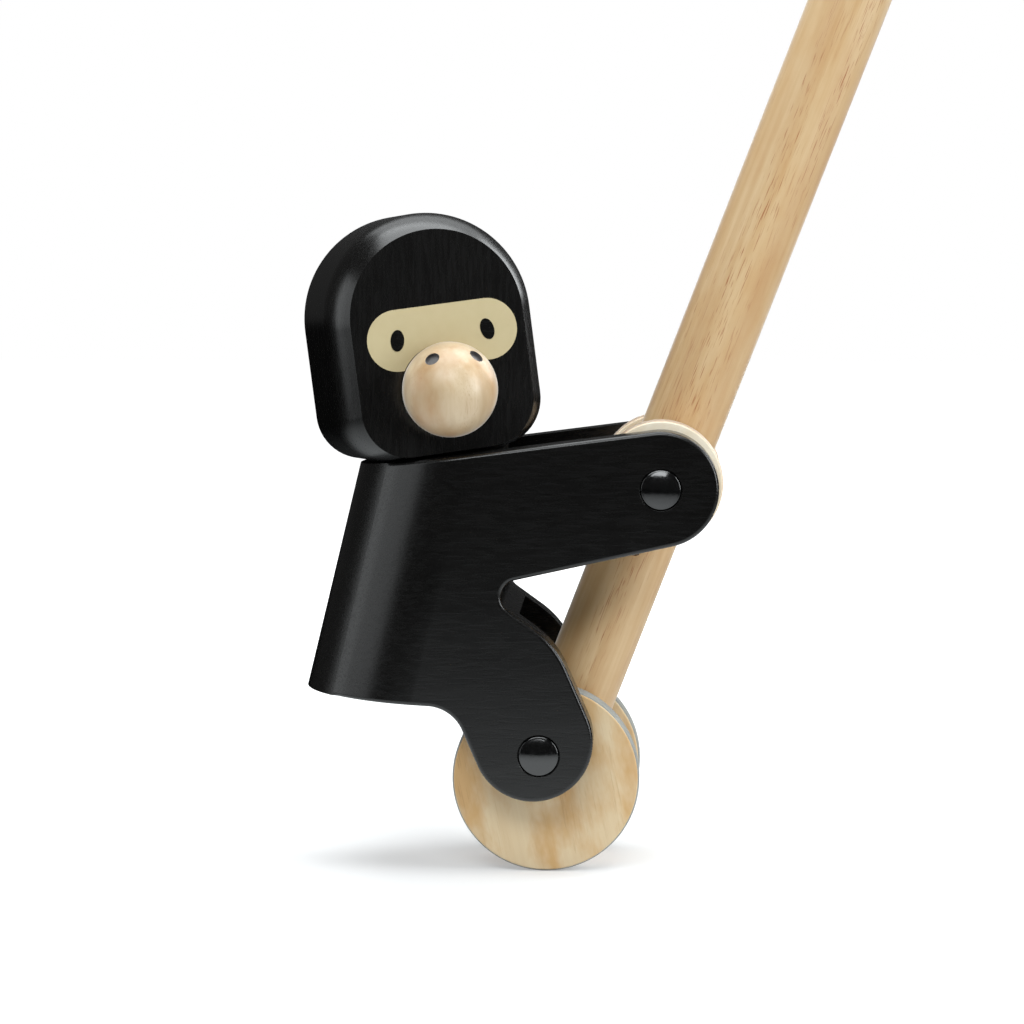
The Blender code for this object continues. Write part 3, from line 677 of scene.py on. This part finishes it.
pen_down("leg_peg_right", 0, WHEEL_OUTER + FIT_GAP)
pen_line(PEG_RADIUS, WHEEL_OUTER + FIT_GAP)
pen_line(PEG_RADIUS, CAP_UNDER)
pen_line(CAP_RADIUS, CAP_UNDER)
cap_dome()
leg_peg_right = turn_on_lathe(steps=64)
leg_peg_left = copy_piece(leg_peg_right, "leg_peg_left")
peg_place = Matrix.Translation((crank_x, 0, AXLE_HEIGHT + crank_z))
set_in_place(leg_peg_right, peg_place @ to_right)
set_in_place(leg_peg_left, peg_place @ to_left)

black_cap = bpy.data.materials.new("black_cap")
tree, shader = shader_of(black_cap)
haze = noise(tree, mapped(tree), HAZE_SCALE, detail=4.0)
roughness = range_of(tree, haze, *HAZE_RANGE, CAP_SMOOTH, CAP_ROUGH)
tree.links.new(blend(tree, haze, CAP_DEEP, CAP_BLACK), shader.inputs["Base Color"])
tree.links.new(roughness, shader.inputs["Roughness"])
shader.inputs["Specular IOR Level"].default_value = CAP_GLOSS
bumped(tree, shader, haze, HAZE_STRENGTH, FINE_DEPTH)
for piece, body, node in (
    (arm_cap_right, "arm_slide", "arm_cap_right"),
    (arm_cap_left, "arm_slide", "arm_cap_left"),
    (leg_peg_right, "gorilla", "leg_peg_right"),
    (leg_peg_left, "gorilla", "leg_peg_left"),
):
    finish_piece(piece, black_cap, body, "black_cap", node)

# Side boards
# Back, arm and leg of each side sawn from one board, spray-painted satin black, with the
# back edge rounded into the half-round back that they share with the block between.

ARM_RADIUS = 0.0145
ARM_TOP_SLOPE = math.radians(7.3)
ARM_UNDER_SLOPE = math.radians(12.4)
BACK_FROM_PIN = 0.0761
BACK_LENGTH = 0.0593
BACK_LEAN = math.radians(13.6)
RUMP_SLOPE = math.radians(-3.2)
LEG_DROP = math.radians(-66.5)
LEG_RADIUS = 0.01515
LEG_END_ABOVE_PEG = 0.0038
BELLY_SLOPE = math.radians(-35.9)
BELLY_ABOVE_PEG = 0.0252
ARMPIT_ROUND = 0.0042
KNEE_ROUND = 0.0240
RUMP_ROUND = 0.0100
OUTER_EDGE = 0.0010
SEAM_REACH = 0.00015
BACK_RADIUS = 0.03025
CAP_SEAT = 0.0262
CAP_SEAT_RADIUS = 0.00522
CAP_SEAT_EASE = 0.0002
FLAT_ANGLE = math.radians(0.2)
TOOL_REACH = 0.2
TOOL_MARGIN = 0.005
HOLE_MARGIN = 0.001


def heading(angle):
    """The unit vector at an angle above +X in the side view."""
    return Vector((math.cos(angle), math.sin(angle)))


def meet(point_a, angle_a, point_b, angle_b):
    """Where two lines of the side view cross, each given by a point and an angle."""
    along, other = heading(angle_a), heading(angle_b)
    gap = point_b - point_a
    share = (gap.x * other.y - gap.y * other.x) / (along.x * other.y - along.y * other.x)
    return point_a + along * share


def pen_corner(before, corner, after, radius, steps):
    """Draw up to a corner and round it, with an arc that touches both of its sides."""
    back = (before - corner).normalized()
    ahead = (after - corner).normalized()
    half = back.angle(ahead) / 2
    centre = corner + (back + ahead).normalized() * radius / math.sin(half)
    start = corner + back * radius / math.tan(half)
    end = corner + ahead * radius / math.tan(half)
    pen_line(*start)
    from_centre, to_centre = start - centre, end - centre
    turn = math.atan2(
        from_centre.x * to_centre.y - from_centre.y * to_centre.x,
        from_centre.dot(to_centre),
    )
    pen_arc(*centre, turn, steps)


pin = Vector((pin_x, pin_z))
peg = Vector((crank_x, AXLE_HEIGHT + crank_z))
arm_top = pin + ARM_RADIUS * heading(ARM_TOP_SLOPE + math.pi / 2)
arm_under = pin + ARM_RADIUS * heading(ARM_UNDER_SLOPE - math.pi / 2)
belly = peg + BELLY_ABOVE_PEG * heading(BELLY_SLOPE + math.pi / 2)
leg_end = peg - LEG_END_ABOVE_PEG * heading(LEG_DROP)
leg_front = leg_end + LEG_RADIUS * heading(LEG_DROP + math.pi / 2)
leg_back = leg_end + LEG_RADIUS * heading(LEG_DROP - math.pi / 2)
back_top = arm_top - BACK_FROM_PIN * heading(ARM_TOP_SLOPE)
rump = back_top + BACK_LENGTH * heading(-math.pi / 2 - BACK_LEAN)
armpit = meet(arm_under, ARM_UNDER_SLOPE, belly, BELLY_SLOPE)
knee = meet(belly, BELLY_SLOPE, leg_front, LEG_DROP)
hip = meet(rump, RUMP_SLOPE, leg_back, LEG_DROP)


def half_round_tool():
    """The half-round plan of the back, long enough to cut boards and block alike."""
    side = BACK_RADIUS + TOOL_MARGIN
    pen_down("back_tool", TOOL_REACH, -side)
    pen_line(BACK_RADIUS, -side)
    pen_line(BACK_RADIUS, -BACK_RADIUS)
    pen_arc(BACK_RADIUS, 0, -math.pi, steps=72)
    pen_line(BACK_RADIUS, side)
    pen_line(TOOL_REACH, side)
    pen_line(TOOL_REACH, -side)
    tool = thicken(2 * TOOL_REACH)
    upright = to_right @ Matrix.Translation((0, -TOOL_REACH, 0))
    back_place = Matrix.Translation((back_top.x, 0, back_top.y))
    set_in_place(tool, back_place @ Matrix.Rotation(BACK_LEAN, 4, "Y") @ upright)
    return tool


def draw_board():
    """Draw the side view of a board, from the arm's end round by the leg to the back."""
    pen_down("board", *arm_top, 0)
    pen_arc(*pin, ARM_UNDER_SLOPE - ARM_TOP_SLOPE - math.pi, steps=48)
    pen_corner(arm_under, armpit, knee, ARMPIT_ROUND, steps=18)
    pen_corner(armpit, knee, leg_front, KNEE_ROUND, steps=14)
    pen_line(*leg_front)
    pen_arc(*leg_end, -math.pi, steps=48)
    pen_corner(leg_back, hip, rump, RUMP_ROUND, steps=18)
    pen_line(*rump)
    pen_line(*back_top)
    pen_line(*arm_top)


def round_edges(width, segments, test):
    """Bevel the sharp edges of the open mesh whose ends both pass a test."""
    choose(test)
    mesh = bmesh.from_edit_mesh(bpy.context.edit_object.data)
    bpy.ops.mesh.select_mode(type="EDGE")
    for edge in mesh.edges:
        both = all(test(vertex.co) for vertex in edge.verts)
        edge.select_set(both and edge.calc_face_angle(0) > SHADE_ANGLE)
    bmesh.update_edit_mesh(bpy.context.edit_object.data)
    bpy.ops.mesh.bevel(offset=width, segments=segments, profile=0.5, affect="EDGES")


def off_seam(place):
    """Whether a place on the board is clear of its seam with the block."""
    return abs(place.y + BOARD_INNER) > SEAM_REACH


back_tool = half_round_tool()
draw_board()
board = thicken(BOARD_OUTER - BOARD_INNER)
set_in_place(board, Matrix.Translation((0, -BOARD_OUTER, 0)))
cut(board, back_tool, "INTERSECT")
bpy.ops.object.mode_set(mode="EDIT")
bpy.ops.mesh.select_all(action="SELECT")
bpy.ops.mesh.dissolve_limited(angle_limit=FLAT_ANGLE)
round_edges(OUTER_EDGE, segments=5, test=off_seam)
bpy.ops.object.mode_set(mode="OBJECT")
for centre, bore in ((pin, ARM_PIN_BORE), (peg, PEG_HOLE_RADIUS)):
    pen_down("hole_tool", 0, BOARD_INNER - HOLE_MARGIN)
    pen_line(bore, BOARD_INNER - HOLE_MARGIN)
    pen_line(bore, CAP_SEAT)
    pen_line(CAP_SEAT_RADIUS, CAP_SEAT)
    pen_line(CAP_SEAT_RADIUS, BOARD_OUTER - CAP_SEAT_EASE)
    pen_line(CAP_SEAT_RADIUS + 2 * CAP_SEAT_EASE, BOARD_OUTER + CAP_SEAT_EASE)
    pen_line(0, BOARD_OUTER + CAP_SEAT_EASE)
    hole_tool = turn_on_lathe(steps=72)
    set_in_place(hole_tool, Matrix.Translation((centre.x, 0, centre.y)) @ to_right)
    cut(board, hole_tool)
    drop(hole_tool)
board.name = "board_right"
board.data.name = "board_right"
board_left = copy_piece(board, "board_left")
set_in_place(board_left, Matrix.Diagonal((1, -1, 1, 1)))


PAINT_DEEP = (0.0017, 0.0015, 0.0013)
PAINT_BLACK = (0.0027, 0.0024, 0.0022)
PAINT_DUST = (0.030, 0.028, 0.026)
DUST_SCALE, DUST_SHARE = 2600, 0.25
DUST_RANGE = (0.68, 0.80)
CLOUD_SCALE = 60
LINE_SCALE, LINE_STRETCH = 1250, 0.12
LINE_RANGE = (0.50, 0.68)
SWELL_SCALE, SWELL_STRETCH = 130, 0.3
PAINT_SMOOTH, PAINT_ROUGH = 0.23, 0.30
PAINT_STRENGTH, PAINT_DEPTH = 0.35, 0.00015


def paint(name, turn, relief, gloss=0.5):
    """Satin black paint that shows the wood's grain, along the turned X, as relief."""
    made = bpy.data.materials.new(name)
    tree, shader = shader_of(made)
    long_lines = mapped(tree, turn, (LINE_STRETCH, 1.0, 1.0))
    long_swell = mapped(tree, turn, (SWELL_STRETCH, 1.0, 1.0))
    lines = noise(tree, long_lines, LINE_SCALE, detail=3.0, rough=0.5, bend=0.6)
    swell = noise(tree, long_swell, SWELL_SCALE, detail=2.0)
    cloud = noise(tree, mapped(tree, turn), CLOUD_SCALE, detail=3.0)
    dust = noise(tree, mapped(tree, turn), DUST_SCALE, detail=2.0)
    tone = blend(tree, cloud, PAINT_DEEP, PAINT_BLACK)
    dust_share = range_of(tree, dust, *DUST_RANGE, 0.0, DUST_SHARE)
    colour = mixed(tree, "MIX", dust_share, tone, PAINT_DUST)
    tree.links.new(colour, shader.inputs["Base Color"])
    roughness = range_of(tree, lines, *NOISE_MIDDLE, PAINT_SMOOTH, PAINT_ROUGH)
    tree.links.new(roughness, shader.inputs["Roughness"])
    shader.inputs["Specular IOR Level"].default_value = gloss
    sunk = range_of(tree, lines, *LINE_RANGE, 0.0, -1.0)
    height = add(tree, "ShaderNodeMath", operation="MULTIPLY_ADD")
    tree.links.new(sunk, height.inputs[0])
    height.inputs[1].default_value = relief
    tree.links.new(swell, height.inputs[2])
    bumped(tree, shader, height.outputs[0], PAINT_STRENGTH, PAINT_DEPTH)
    return made


BOARD_RELIEF = 0.10
board_paint = paint("board_paint", UNTURNED, BOARD_RELIEF)
finish_piece(board, board_paint, "gorilla", "black_paint", "side_board_right")
finish_piece(board_left, board_paint, "gorilla", "black_paint", "side_board_left")

# Torso block
# A solid block glued between the boards. It is flush with them at the back, and its lower
# front is hollowed so that the wheels pass under it.

CORE_HALF = 0.02018
WELL_GAP = 0.0007
WELL_RADIUS = TYRE_RADIUS + CRANK_RADIUS * math.sqrt(2) + WELL_GAP


def on_well(point, angle):
    """Where a line of the side view first crosses the hollow for the wheels."""
    along = heading(angle)
    nearest = point + along * (peg - point).dot(along)
    return nearest - along * math.sqrt(WELL_RADIUS**2 - (nearest - peg).length ** 2)


armpit_back = (arm_under - armpit).normalized()
armpit_ahead = (knee - armpit).normalized()
armpit_half = armpit_back.angle(armpit_ahead) / 2
armpit_centre = armpit + (armpit_back + armpit_ahead).normalized() * (
    ARMPIT_ROUND / math.sin(armpit_half)
)
armpit_front = armpit_centre - Vector((ARMPIT_ROUND, 0))
armpit_end = armpit + armpit_ahead * ARMPIT_ROUND / math.tan(armpit_half)
front_top = meet(armpit_front, math.pi / 2, arm_top, ARM_TOP_SLOPE)
lip = on_well(belly, BELLY_SLOPE)
foot = on_well(rump, RUMP_SLOPE)
pen_down("block", *front_top, 0)
pen_line(*armpit_front)
from_front = armpit_end - armpit_centre
pen_arc(*armpit_centre, math.pi - abs(math.atan2(from_front.y, from_front.x)), steps=10)
pen_line(*lip)
to_lip, to_foot = lip - peg, foot - peg
well_turn = math.atan2(
    to_lip.x * to_foot.y - to_lip.y * to_foot.x, to_lip.dot(to_foot)
)
pen_arc(*peg, well_turn, steps=24)
pen_line(*rump)
pen_line(*back_top)
pen_line(*front_top)
block = thicken(2 * CORE_HALF)
set_in_place(block, Matrix.Translation((0, -CORE_HALF, 0)))
cut(block, back_tool, "INTERSECT")
drop(back_tool)

NECK_RADIUS = 0.0040
NECK_FROM_PIN = 0.0572
NECK_IN_TORSO = 0.0240

neck = arm_top - NECK_FROM_PIN * heading(ARM_TOP_SLOPE)
neck_place = Matrix.Translation((neck.x, 0, neck.y)) @ Matrix.Rotation(
    -ARM_TOP_SLOPE, 4, "Y"
)
pen_down("neck_tool", 0, -NECK_IN_TORSO - FIT_GAP)
pen_line(NECK_RADIUS + FIT_GAP, -NECK_IN_TORSO - FIT_GAP)
pen_line(NECK_RADIUS + FIT_GAP, NECK_IN_TORSO)
pen_line(0, NECK_IN_TORSO)
neck_tool = turn_on_lathe(steps=40)
set_in_place(neck_tool, neck_place)
cut(block, neck_tool)
drop(neck_tool)
block_paint = paint("block_paint", UNTURNED, BOARD_RELIEF)
finish_piece(block, block_paint, "gorilla", "black_paint", "torso_core")

# Head
# A block sawn to an arch, its sides turned barrel-round between two flat faces, painted
# like the boards. It turns on a dowel in the torso, and a cup in its face holds the nose.

HEAD_WIDTH = 0.0535
HEAD_HEIGHT = 0.0612
HEAD_DEPTH = 0.0460
HEAD_CORNER = 0.0120
HEAD_SIDE_ROUND = 0.0185
HEAD_CREASE = math.radians(40.5)
HEAD_BASE_EASE = 0.0006
HEAD_TURN = math.radians(17.3)
SIDE_STEPS = 12
NOSE_RADIUS = 0.0120
NOSE_HEIGHT = 0.0164
NOSE_PROUD = 0.0040

half_width = HEAD_WIDTH / 2
arch_centre = HEAD_HEIGHT - half_width
straight = HEAD_DEPTH / 2 - HEAD_SIDE_ROUND * math.sin(HEAD_CREASE)
rings = []
for step in range(SIDE_STEPS + 1):
    share = 1 - step / SIDE_STEPS
    turn = HEAD_CREASE * share
    y = straight + HEAD_SIDE_ROUND * math.sin(turn)
    inset = HEAD_SIDE_ROUND * (1 - math.cos(turn))
    rings.append((y, inset, HEAD_BASE_EASE * share**2))
rings = [(-y, inset, base) for y, inset, base in rings] + rings[::-1]


def draw_arch(y, inset, base):
    """Draw one arched section of the head in the open mesh."""
    side = half_width - inset
    low = base + HEAD_CORNER
    pen_line(side, arch_centre)
    pen_arc(0, arch_centre, math.pi, steps=56)
    pen_line(-side, low)
    pen_arc(HEAD_CORNER - side, low, math.pi / 2, steps=14)
    pen_line(side - HEAD_CORNER, base)
    pen_arc(side - HEAD_CORNER, low, math.pi / 2, steps=14)


sections = []
for number, (y, inset, base) in enumerate(rings):
    pen_down("section_%d" % number, half_width - inset, base + HEAD_CORNER, y)
    draw_arch(y, inset, base)
    sections.append(pen_up())
bpy.ops.object.select_all(action="DESELECT")
for section in sections:
    section.select_set(True)
bpy.context.view_layer.objects.active = sections[0]
bpy.ops.object.join()
head = bpy.context.object
head.name = "head_block"
head.data.name = "head_block"
bpy.ops.object.mode_set(mode="EDIT")
for (front, _, _), (rear, _, _) in zip(rings, rings[1:]):
    choose(lambda place: min(abs(place.y - front), abs(place.y - rear)) < WELD_GAP)
    bpy.ops.mesh.bridge_edge_loops()
for end in (rings[0][0], rings[-1][0]):
    choose(lambda place: abs(place.y - end) < WELD_GAP)
    bpy.ops.mesh.edge_face_add()
bpy.ops.mesh.select_all(action="SELECT")
bpy.ops.mesh.normals_make_consistent(inside=False)
bpy.ops.object.mode_set(mode="OBJECT")

head_place = (
    neck_place @ Matrix.Rotation(HEAD_TURN, 4, "Z") @ Matrix.Translation((0, 0, FIT_GAP))
)
nose_place = Matrix.Translation((0, -HEAD_DEPTH / 2 - NOSE_PROUD, NOSE_HEIGHT))


def round_ball(name, radius):
    """A ball with its poles along Y."""
    bpy.ops.object.select_all(action="DESELECT")
    bpy.ops.mesh.primitive_uv_sphere_add(segments=96, ring_count=48, radius=radius)
    ball = bpy.context.object
    ball.name = name
    ball.data.name = name
    set_in_place(ball, lay_along_y)
    return ball


seat_tool = round_ball("seat_tool", NOSE_RADIUS + FIT_GAP)
set_in_place(seat_tool, nose_place)
cut(head, seat_tool)
set_in_place(head, head_place)
HEAD_GRAIN = (math.radians(90), math.radians(90), 0)
HEAD_RELIEF = 0.02
HEAD_GLOSS = 0.6
head_paint = paint("head_paint", HEAD_GRAIN, HEAD_RELIEF, HEAD_GLOSS)
finish_piece(head, head_paint, "head_unit", "black_paint", "head")

# Face
# Cream paint printed on the flat of the head as a rounded bar, cut short by the nose's
# cup, with two black ovals for eyes.

MASK_THICKNESS = 0.0001
PRINT_DEPTH = 1.5 * MASK_THICKNESS
MASK_RADIUS = 0.00775
EYE_HEIGHT = 0.0301
EYE_RIGHT = -0.0109
EYE_LEFT = 0.0125
EYE_RIGHT_TILT = math.radians(-10)
EYE_LEFT_TILT = math.radians(12)
EYE_HALF_WIDTH = 0.00175
EYE_HALF_HEIGHT = 0.00270
EYE_RELIEF = 0.05
CREAM_SCALE, CREAM_STRENGTH = 500, 0.08
CREAM_SHADE = (0.485, 0.407, 0.232)
CREAM_PALE = (0.500, 0.422, 0.245)
CREAM_SMOOTH, CREAM_ROUGH = 0.48, 0.56

face_y = -HEAD_DEPTH / 2
pen_down("face_mask", EYE_LEFT, EYE_HEIGHT - MASK_RADIUS, face_y - MASK_THICKNESS)
pen_arc(EYE_LEFT, EYE_HEIGHT, math.pi, steps=40)
pen_line(EYE_RIGHT, EYE_HEIGHT + MASK_RADIUS)
pen_arc(EYE_RIGHT, EYE_HEIGHT, math.pi, steps=40)
pen_line(EYE_LEFT, EYE_HEIGHT - MASK_RADIUS)
mask = thicken(PRINT_DEPTH)
seat_tool.matrix_world = Matrix.Identity(4)
cut(mask, seat_tool)
drop(seat_tool)
set_in_place(mask, head_place)

mask_paint = bpy.data.materials.new("mask_paint")
tree, shader = shader_of(mask_paint)
cloud = noise(tree, mapped(tree), CREAM_SCALE, detail=4.0)
roughness = range_of(tree, cloud, *NOISE_MIDDLE, CREAM_SMOOTH, CREAM_ROUGH)
tree.links.new(blend(tree, cloud, CREAM_SHADE, CREAM_PALE), shader.inputs["Base Color"])
tree.links.new(roughness, shader.inputs["Roughness"])
bumped(tree, shader, cloud, CREAM_STRENGTH, FINE_DEPTH)
finish_piece(mask, mask_paint, "head_unit", "pale_wood")

eye_paint = paint("eye_paint", UNTURNED, EYE_RELIEF)
for name, across, tilt in (
    ("eye_right", EYE_RIGHT, EYE_RIGHT_TILT),
    ("eye_left", EYE_LEFT, EYE_LEFT_TILT),
):
    pen_down(name, EYE_HALF_WIDTH, 0, 0)
    pen_arc(0, 0, 2 * math.pi, steps=48)
    eye = thicken(PRINT_DEPTH)
    stretch = Matrix.Diagonal((1, 1, EYE_HALF_HEIGHT / EYE_HALF_WIDTH, 1))
    where = Matrix.Translation((across, face_y - 2 * MASK_THICKNESS, EYE_HEIGHT))
    set_in_place(eye, head_place @ where @ Matrix.Rotation(-tilt, 4, "Y") @ stretch)
    finish_piece(eye, eye_paint, "head_unit", "black_paint")

# Nose
# A turned wooden ball, left bare, with two shallow nostrils drilled into it and painted
# dark grey.

NOSTRIL_RADIUS = 0.0019
NOSTRIL_DEPTH = 0.0010
NOSTRIL_COLOUR = (0.062, 0.057, 0.057)
NOSE_COAT_ROUGHNESS = 0.4
NOSE_ROLL = math.radians(4.0)
NOSE_TURN = math.radians(-0.3)
NOSTRIL_SIDE = math.radians(40.2)
NOSTRIL_RISE = math.radians(42.5)
DRILLED_BELOW = 0.00010
BARE_BELOW = 0.00003

nose = round_ball("nose", NOSE_RADIUS)
for across_face in (-1, 1):
    aim = (
        Matrix.Rotation(NOSE_ROLL, 4, "Y")
        @ Matrix.Rotation(NOSE_TURN + across_face * NOSTRIL_SIDE, 4, "Z")
        @ Matrix.Rotation(-NOSTRIL_RISE, 4, "X")
    )
    pen_down("drill", 0, NOSE_RADIUS - NOSTRIL_DEPTH)
    pen_line(NOSTRIL_RADIUS, NOSE_RADIUS - NOSTRIL_DEPTH)
    pen_line(NOSTRIL_RADIUS, 2 * NOSE_RADIUS)
    pen_line(0, 2 * NOSE_RADIUS)
    drill = turn_on_lathe(steps=48)
    set_in_place(drill, aim @ to_right)
    cut(nose, drill)
    drop(drill)
set_in_place(nose, head_place @ nose_place)
nose_middle = (head_place @ nose_place).to_translation()
nose_wood = wood(
    "nose_wood",
    pale=(0.610, 0.480, 0.310),
    tan=(0.440, 0.290, 0.145),
    brown=(0.360, 0.200, 0.090),
    turn=(math.radians(20), 0, 0),
    figure=0.6,
    pores=0.5,
    stain=0.8,
)
tree, shader = shader_of(nose_wood)
shader.inputs["Coat Weight"].default_value = 1.0
shader.inputs["Coat Roughness"].default_value = NOSE_COAT_ROUGHNESS
coordinates = add(tree, "ShaderNodeTexCoord")
distance = add(tree, "ShaderNodeVectorMath", operation="DISTANCE")
distance.inputs[1].default_value = nose_middle
tree.links.new(coordinates.outputs["Object"], distance.inputs[0])
drilled_at, bare_at = NOSE_RADIUS - DRILLED_BELOW, NOSE_RADIUS - BARE_BELOW
bare = range_of(tree, distance.outputs["Value"], drilled_at, bare_at, 0.0, 1.0)
bare_colour = shader.inputs["Base Color"].links[0].from_socket
nose_colour = mixed(tree, "MIX", bare, NOSTRIL_COLOUR, bare_colour)
tree.links.new(nose_colour, shader.inputs["Base Color"])
finish_piece(nose, nose_wood, "head_unit", "pale_wood", "nose_ball")

# Hidden dowels and pins
# Beech dowels for the axle, neck and nose, and steel wire for the arm and neck pins. They
# are the frame's own solids, given a look.

BRUSH_SCALE, BRUSH_STRETCH, BRUSH_STRENGTH = 2400, 0.05, 0.1
STEEL_DARK = (0.50, 0.51, 0.52)
STEEL_PALE = (0.60, 0.61, 0.62)
STEEL_SMOOTH, STEEL_ROUGH = 0.25, 0.40

dowel_wood = wood(
    "dowel_wood",
    pale=(0.700, 0.540, 0.350),
    tan=(0.620, 0.450, 0.260),
    brown=(0.400, 0.240, 0.110),
    turn=ALONG_Y,
)
steel = bpy.data.materials.new("brushed_steel")
tree, shader = shader_of(steel)
shader.inputs["Metallic"].default_value = 1.0
long_lines = mapped(tree, UNTURNED, (1.0, BRUSH_STRETCH, 1.0))
brushing = noise(tree, long_lines, BRUSH_SCALE, detail=3.0)
roughness = range_of(tree, brushing, *NOISE_MIDDLE, STEEL_SMOOTH, STEEL_ROUGH)
tree.links.new(blend(tree, brushing, STEEL_DARK, STEEL_PALE), shader.inputs["Base Color"])
tree.links.new(roughness, shader.inputs["Roughness"])
bumped(tree, shader, brushing, BRUSH_STRENGTH, FINE_DEPTH)
for name, look in (
    ("axle", dowel_wood),
    ("neck_dowel", dowel_wood),
    ("nose_dowel", dowel_wood),
    ("arm_pin", steel),
    ("neck_lock_pin", steel),
):
    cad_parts[name].data.materials[0] = look

# Floor
# A plain white table. To the camera it glows a little, and more further off, so that it
# turns white but keeps the shadow. Gloss sees it as a white sheet round the toy.

FLOOR_SIZE = 6.0
FLOOR_TONE = (0.60, 0.60, 0.60, 1.0)
FLOOR_ROUGHNESS = 0.8
FLOOR_LIFT = 0.34
LIFT_FROM = 0.10
LIFT_TO = 0.45
SHEET_COLOUR = (0.93, 0.98, 1.0, 1.0)
SHEET_LEVEL = 1.35
SHEET_END_LEVEL = 0.02
SHEET_END = 0.48
SHEET_BEHIND = 0.15
SHEET_BEHIND_SHARE = 0.05

bpy.ops.object.select_all(action="DESELECT")
bpy.ops.mesh.primitive_plane_add(size=FLOOR_SIZE)
floor = bpy.context.object
floor.name = "floor"
floor_look = bpy.data.materials.new("floor_white")
tree, shader = shader_of(floor_look)
shader.inputs["Base Color"].default_value = FLOOR_TONE
shader.inputs["Roughness"].default_value = FLOOR_ROUGHNESS
shader.inputs["Specular IOR Level"].default_value = 0.0
path = add(tree, "ShaderNodeLightPath")
coordinates = add(tree, "ShaderNodeTexCoord")
spread = add(tree, "ShaderNodeVectorMath", operation="LENGTH")
tree.links.new(coordinates.outputs["Object"], spread.inputs[0])
far = range_of(tree, spread.outputs["Value"], LIFT_FROM, LIFT_TO, FLOOR_LIFT, 1.0)
lift = add(tree, "ShaderNodeMath", operation="MULTIPLY")
tree.links.new(path.outputs["Is Camera Ray"], lift.inputs[0])
tree.links.new(far, lift.inputs[1])
white = add(tree, "ShaderNodeEmission")
tree.links.new(lift.outputs[0], white.inputs["Strength"])
lit = add(tree, "ShaderNodeAddShader")
tree.links.new(shader.outputs["BSDF"], lit.inputs[0])
tree.links.new(white.outputs["Emission"], lit.inputs[1])
mirrored = add(tree, "ShaderNodeEmission", Color=SHEET_COLOUR)
split = add(tree, "ShaderNodeSeparateXYZ")
tree.links.new(coordinates.outputs["Object"], split.inputs[0])
near = range_of(
    tree, spread.outputs["Value"], LIFT_FROM, SHEET_END, SHEET_LEVEL, SHEET_END_LEVEL
)
front = range_of(tree, split.outputs["Y"], 0.0, SHEET_BEHIND, 1.0, SHEET_BEHIND_SHARE)
sheet = add(tree, "ShaderNodeMath", operation="MULTIPLY")
tree.links.new(near, sheet.inputs[0])
tree.links.new(front, sheet.inputs[1])
tree.links.new(sheet.outputs[0], mirrored.inputs["Strength"])
through = add(tree, "ShaderNodeMath", operation="MAXIMUM")
tree.links.new(path.outputs["Is Glossy Ray"], through.inputs[0])
tree.links.new(path.outputs["Is Transmission Ray"], through.inputs[1])
surface = add(tree, "ShaderNodeMixShader")
tree.links.new(through.outputs[0], surface.inputs[0])
tree.links.new(lit.outputs["Shader"], surface.inputs[1])
tree.links.new(mirrored.outputs["Emission"], surface.inputs[2])
tree.links.new(surface.outputs["Shader"], tree.nodes["Material Output"].inputs["Surface"])
floor.data.materials.append(floor_look)

# Light
# Seven soft boxes: two at the left give the back its bright stripe, large ones stand above
# and behind, one lights the front from high up, and two fill in from the right. The world
# is dim, and white only where the camera looks.

WORLD_LEVEL = 0.04
LAMP_COLOUR = (0.95, 0.985, 1.0)
LAMP_AIM = (0.0, 0.0, 0.10)

world = bpy.data.worlds.new("studio")
scene.world = world
world.use_nodes = True
tree = world.node_tree
background = tree.nodes["Background"]
background.inputs["Color"].default_value = (1.0, 1.0, 1.0, 1.0)
path = add(tree, "ShaderNodeLightPath")
shown = add(tree, "ShaderNodeMath", operation="MAXIMUM")
tree.links.new(path.outputs["Is Camera Ray"], shown.inputs[0])
tree.links.new(path.outputs["Is Transmission Ray"], shown.inputs[1])
world_level = range_of(tree, shown.outputs[0], 0, 1, WORLD_LEVEL, 1.0)
tree.links.new(world_level, background.inputs["Strength"])

for name, place, width, height, power in (
    ("left_box", (-0.88, 0.00, 0.29), 0.28, 0.6, 0.85),
    ("left_fill", (-0.82, -0.35, 0.30), 0.42, 0.6, 0.95),
    ("front_box", (-0.13, -0.73, 0.70), 0.8, 0.30, 4.9),
    ("top_box", (0.0, 0.0, 0.90), 0.9, 0.8, 9.0),
    ("back_box", (0.0, 0.49, 0.80), 0.9, 0.5, 2.0),
    ("rear_box", (0.62, 0.50, 0.55), 0.3, 0.6, 3.5),
    ("right_box", (0.80, -0.33, 0.35), 0.30, 0.6, 4.7),
):
    bpy.ops.object.light_add(type="AREA", location=place)
    lamp = bpy.context.object
    lamp.name = name
    lamp.data.shape = "RECTANGLE"
    lamp.data.size = width
    lamp.data.size_y = height
    lamp.data.energy = power
    lamp.data.color = LAMP_COLOUR
    facing = Vector(LAMP_AIM) - Vector(place)
    lamp.rotation_euler = facing.to_track_quat("-Z", "Y").to_euler()
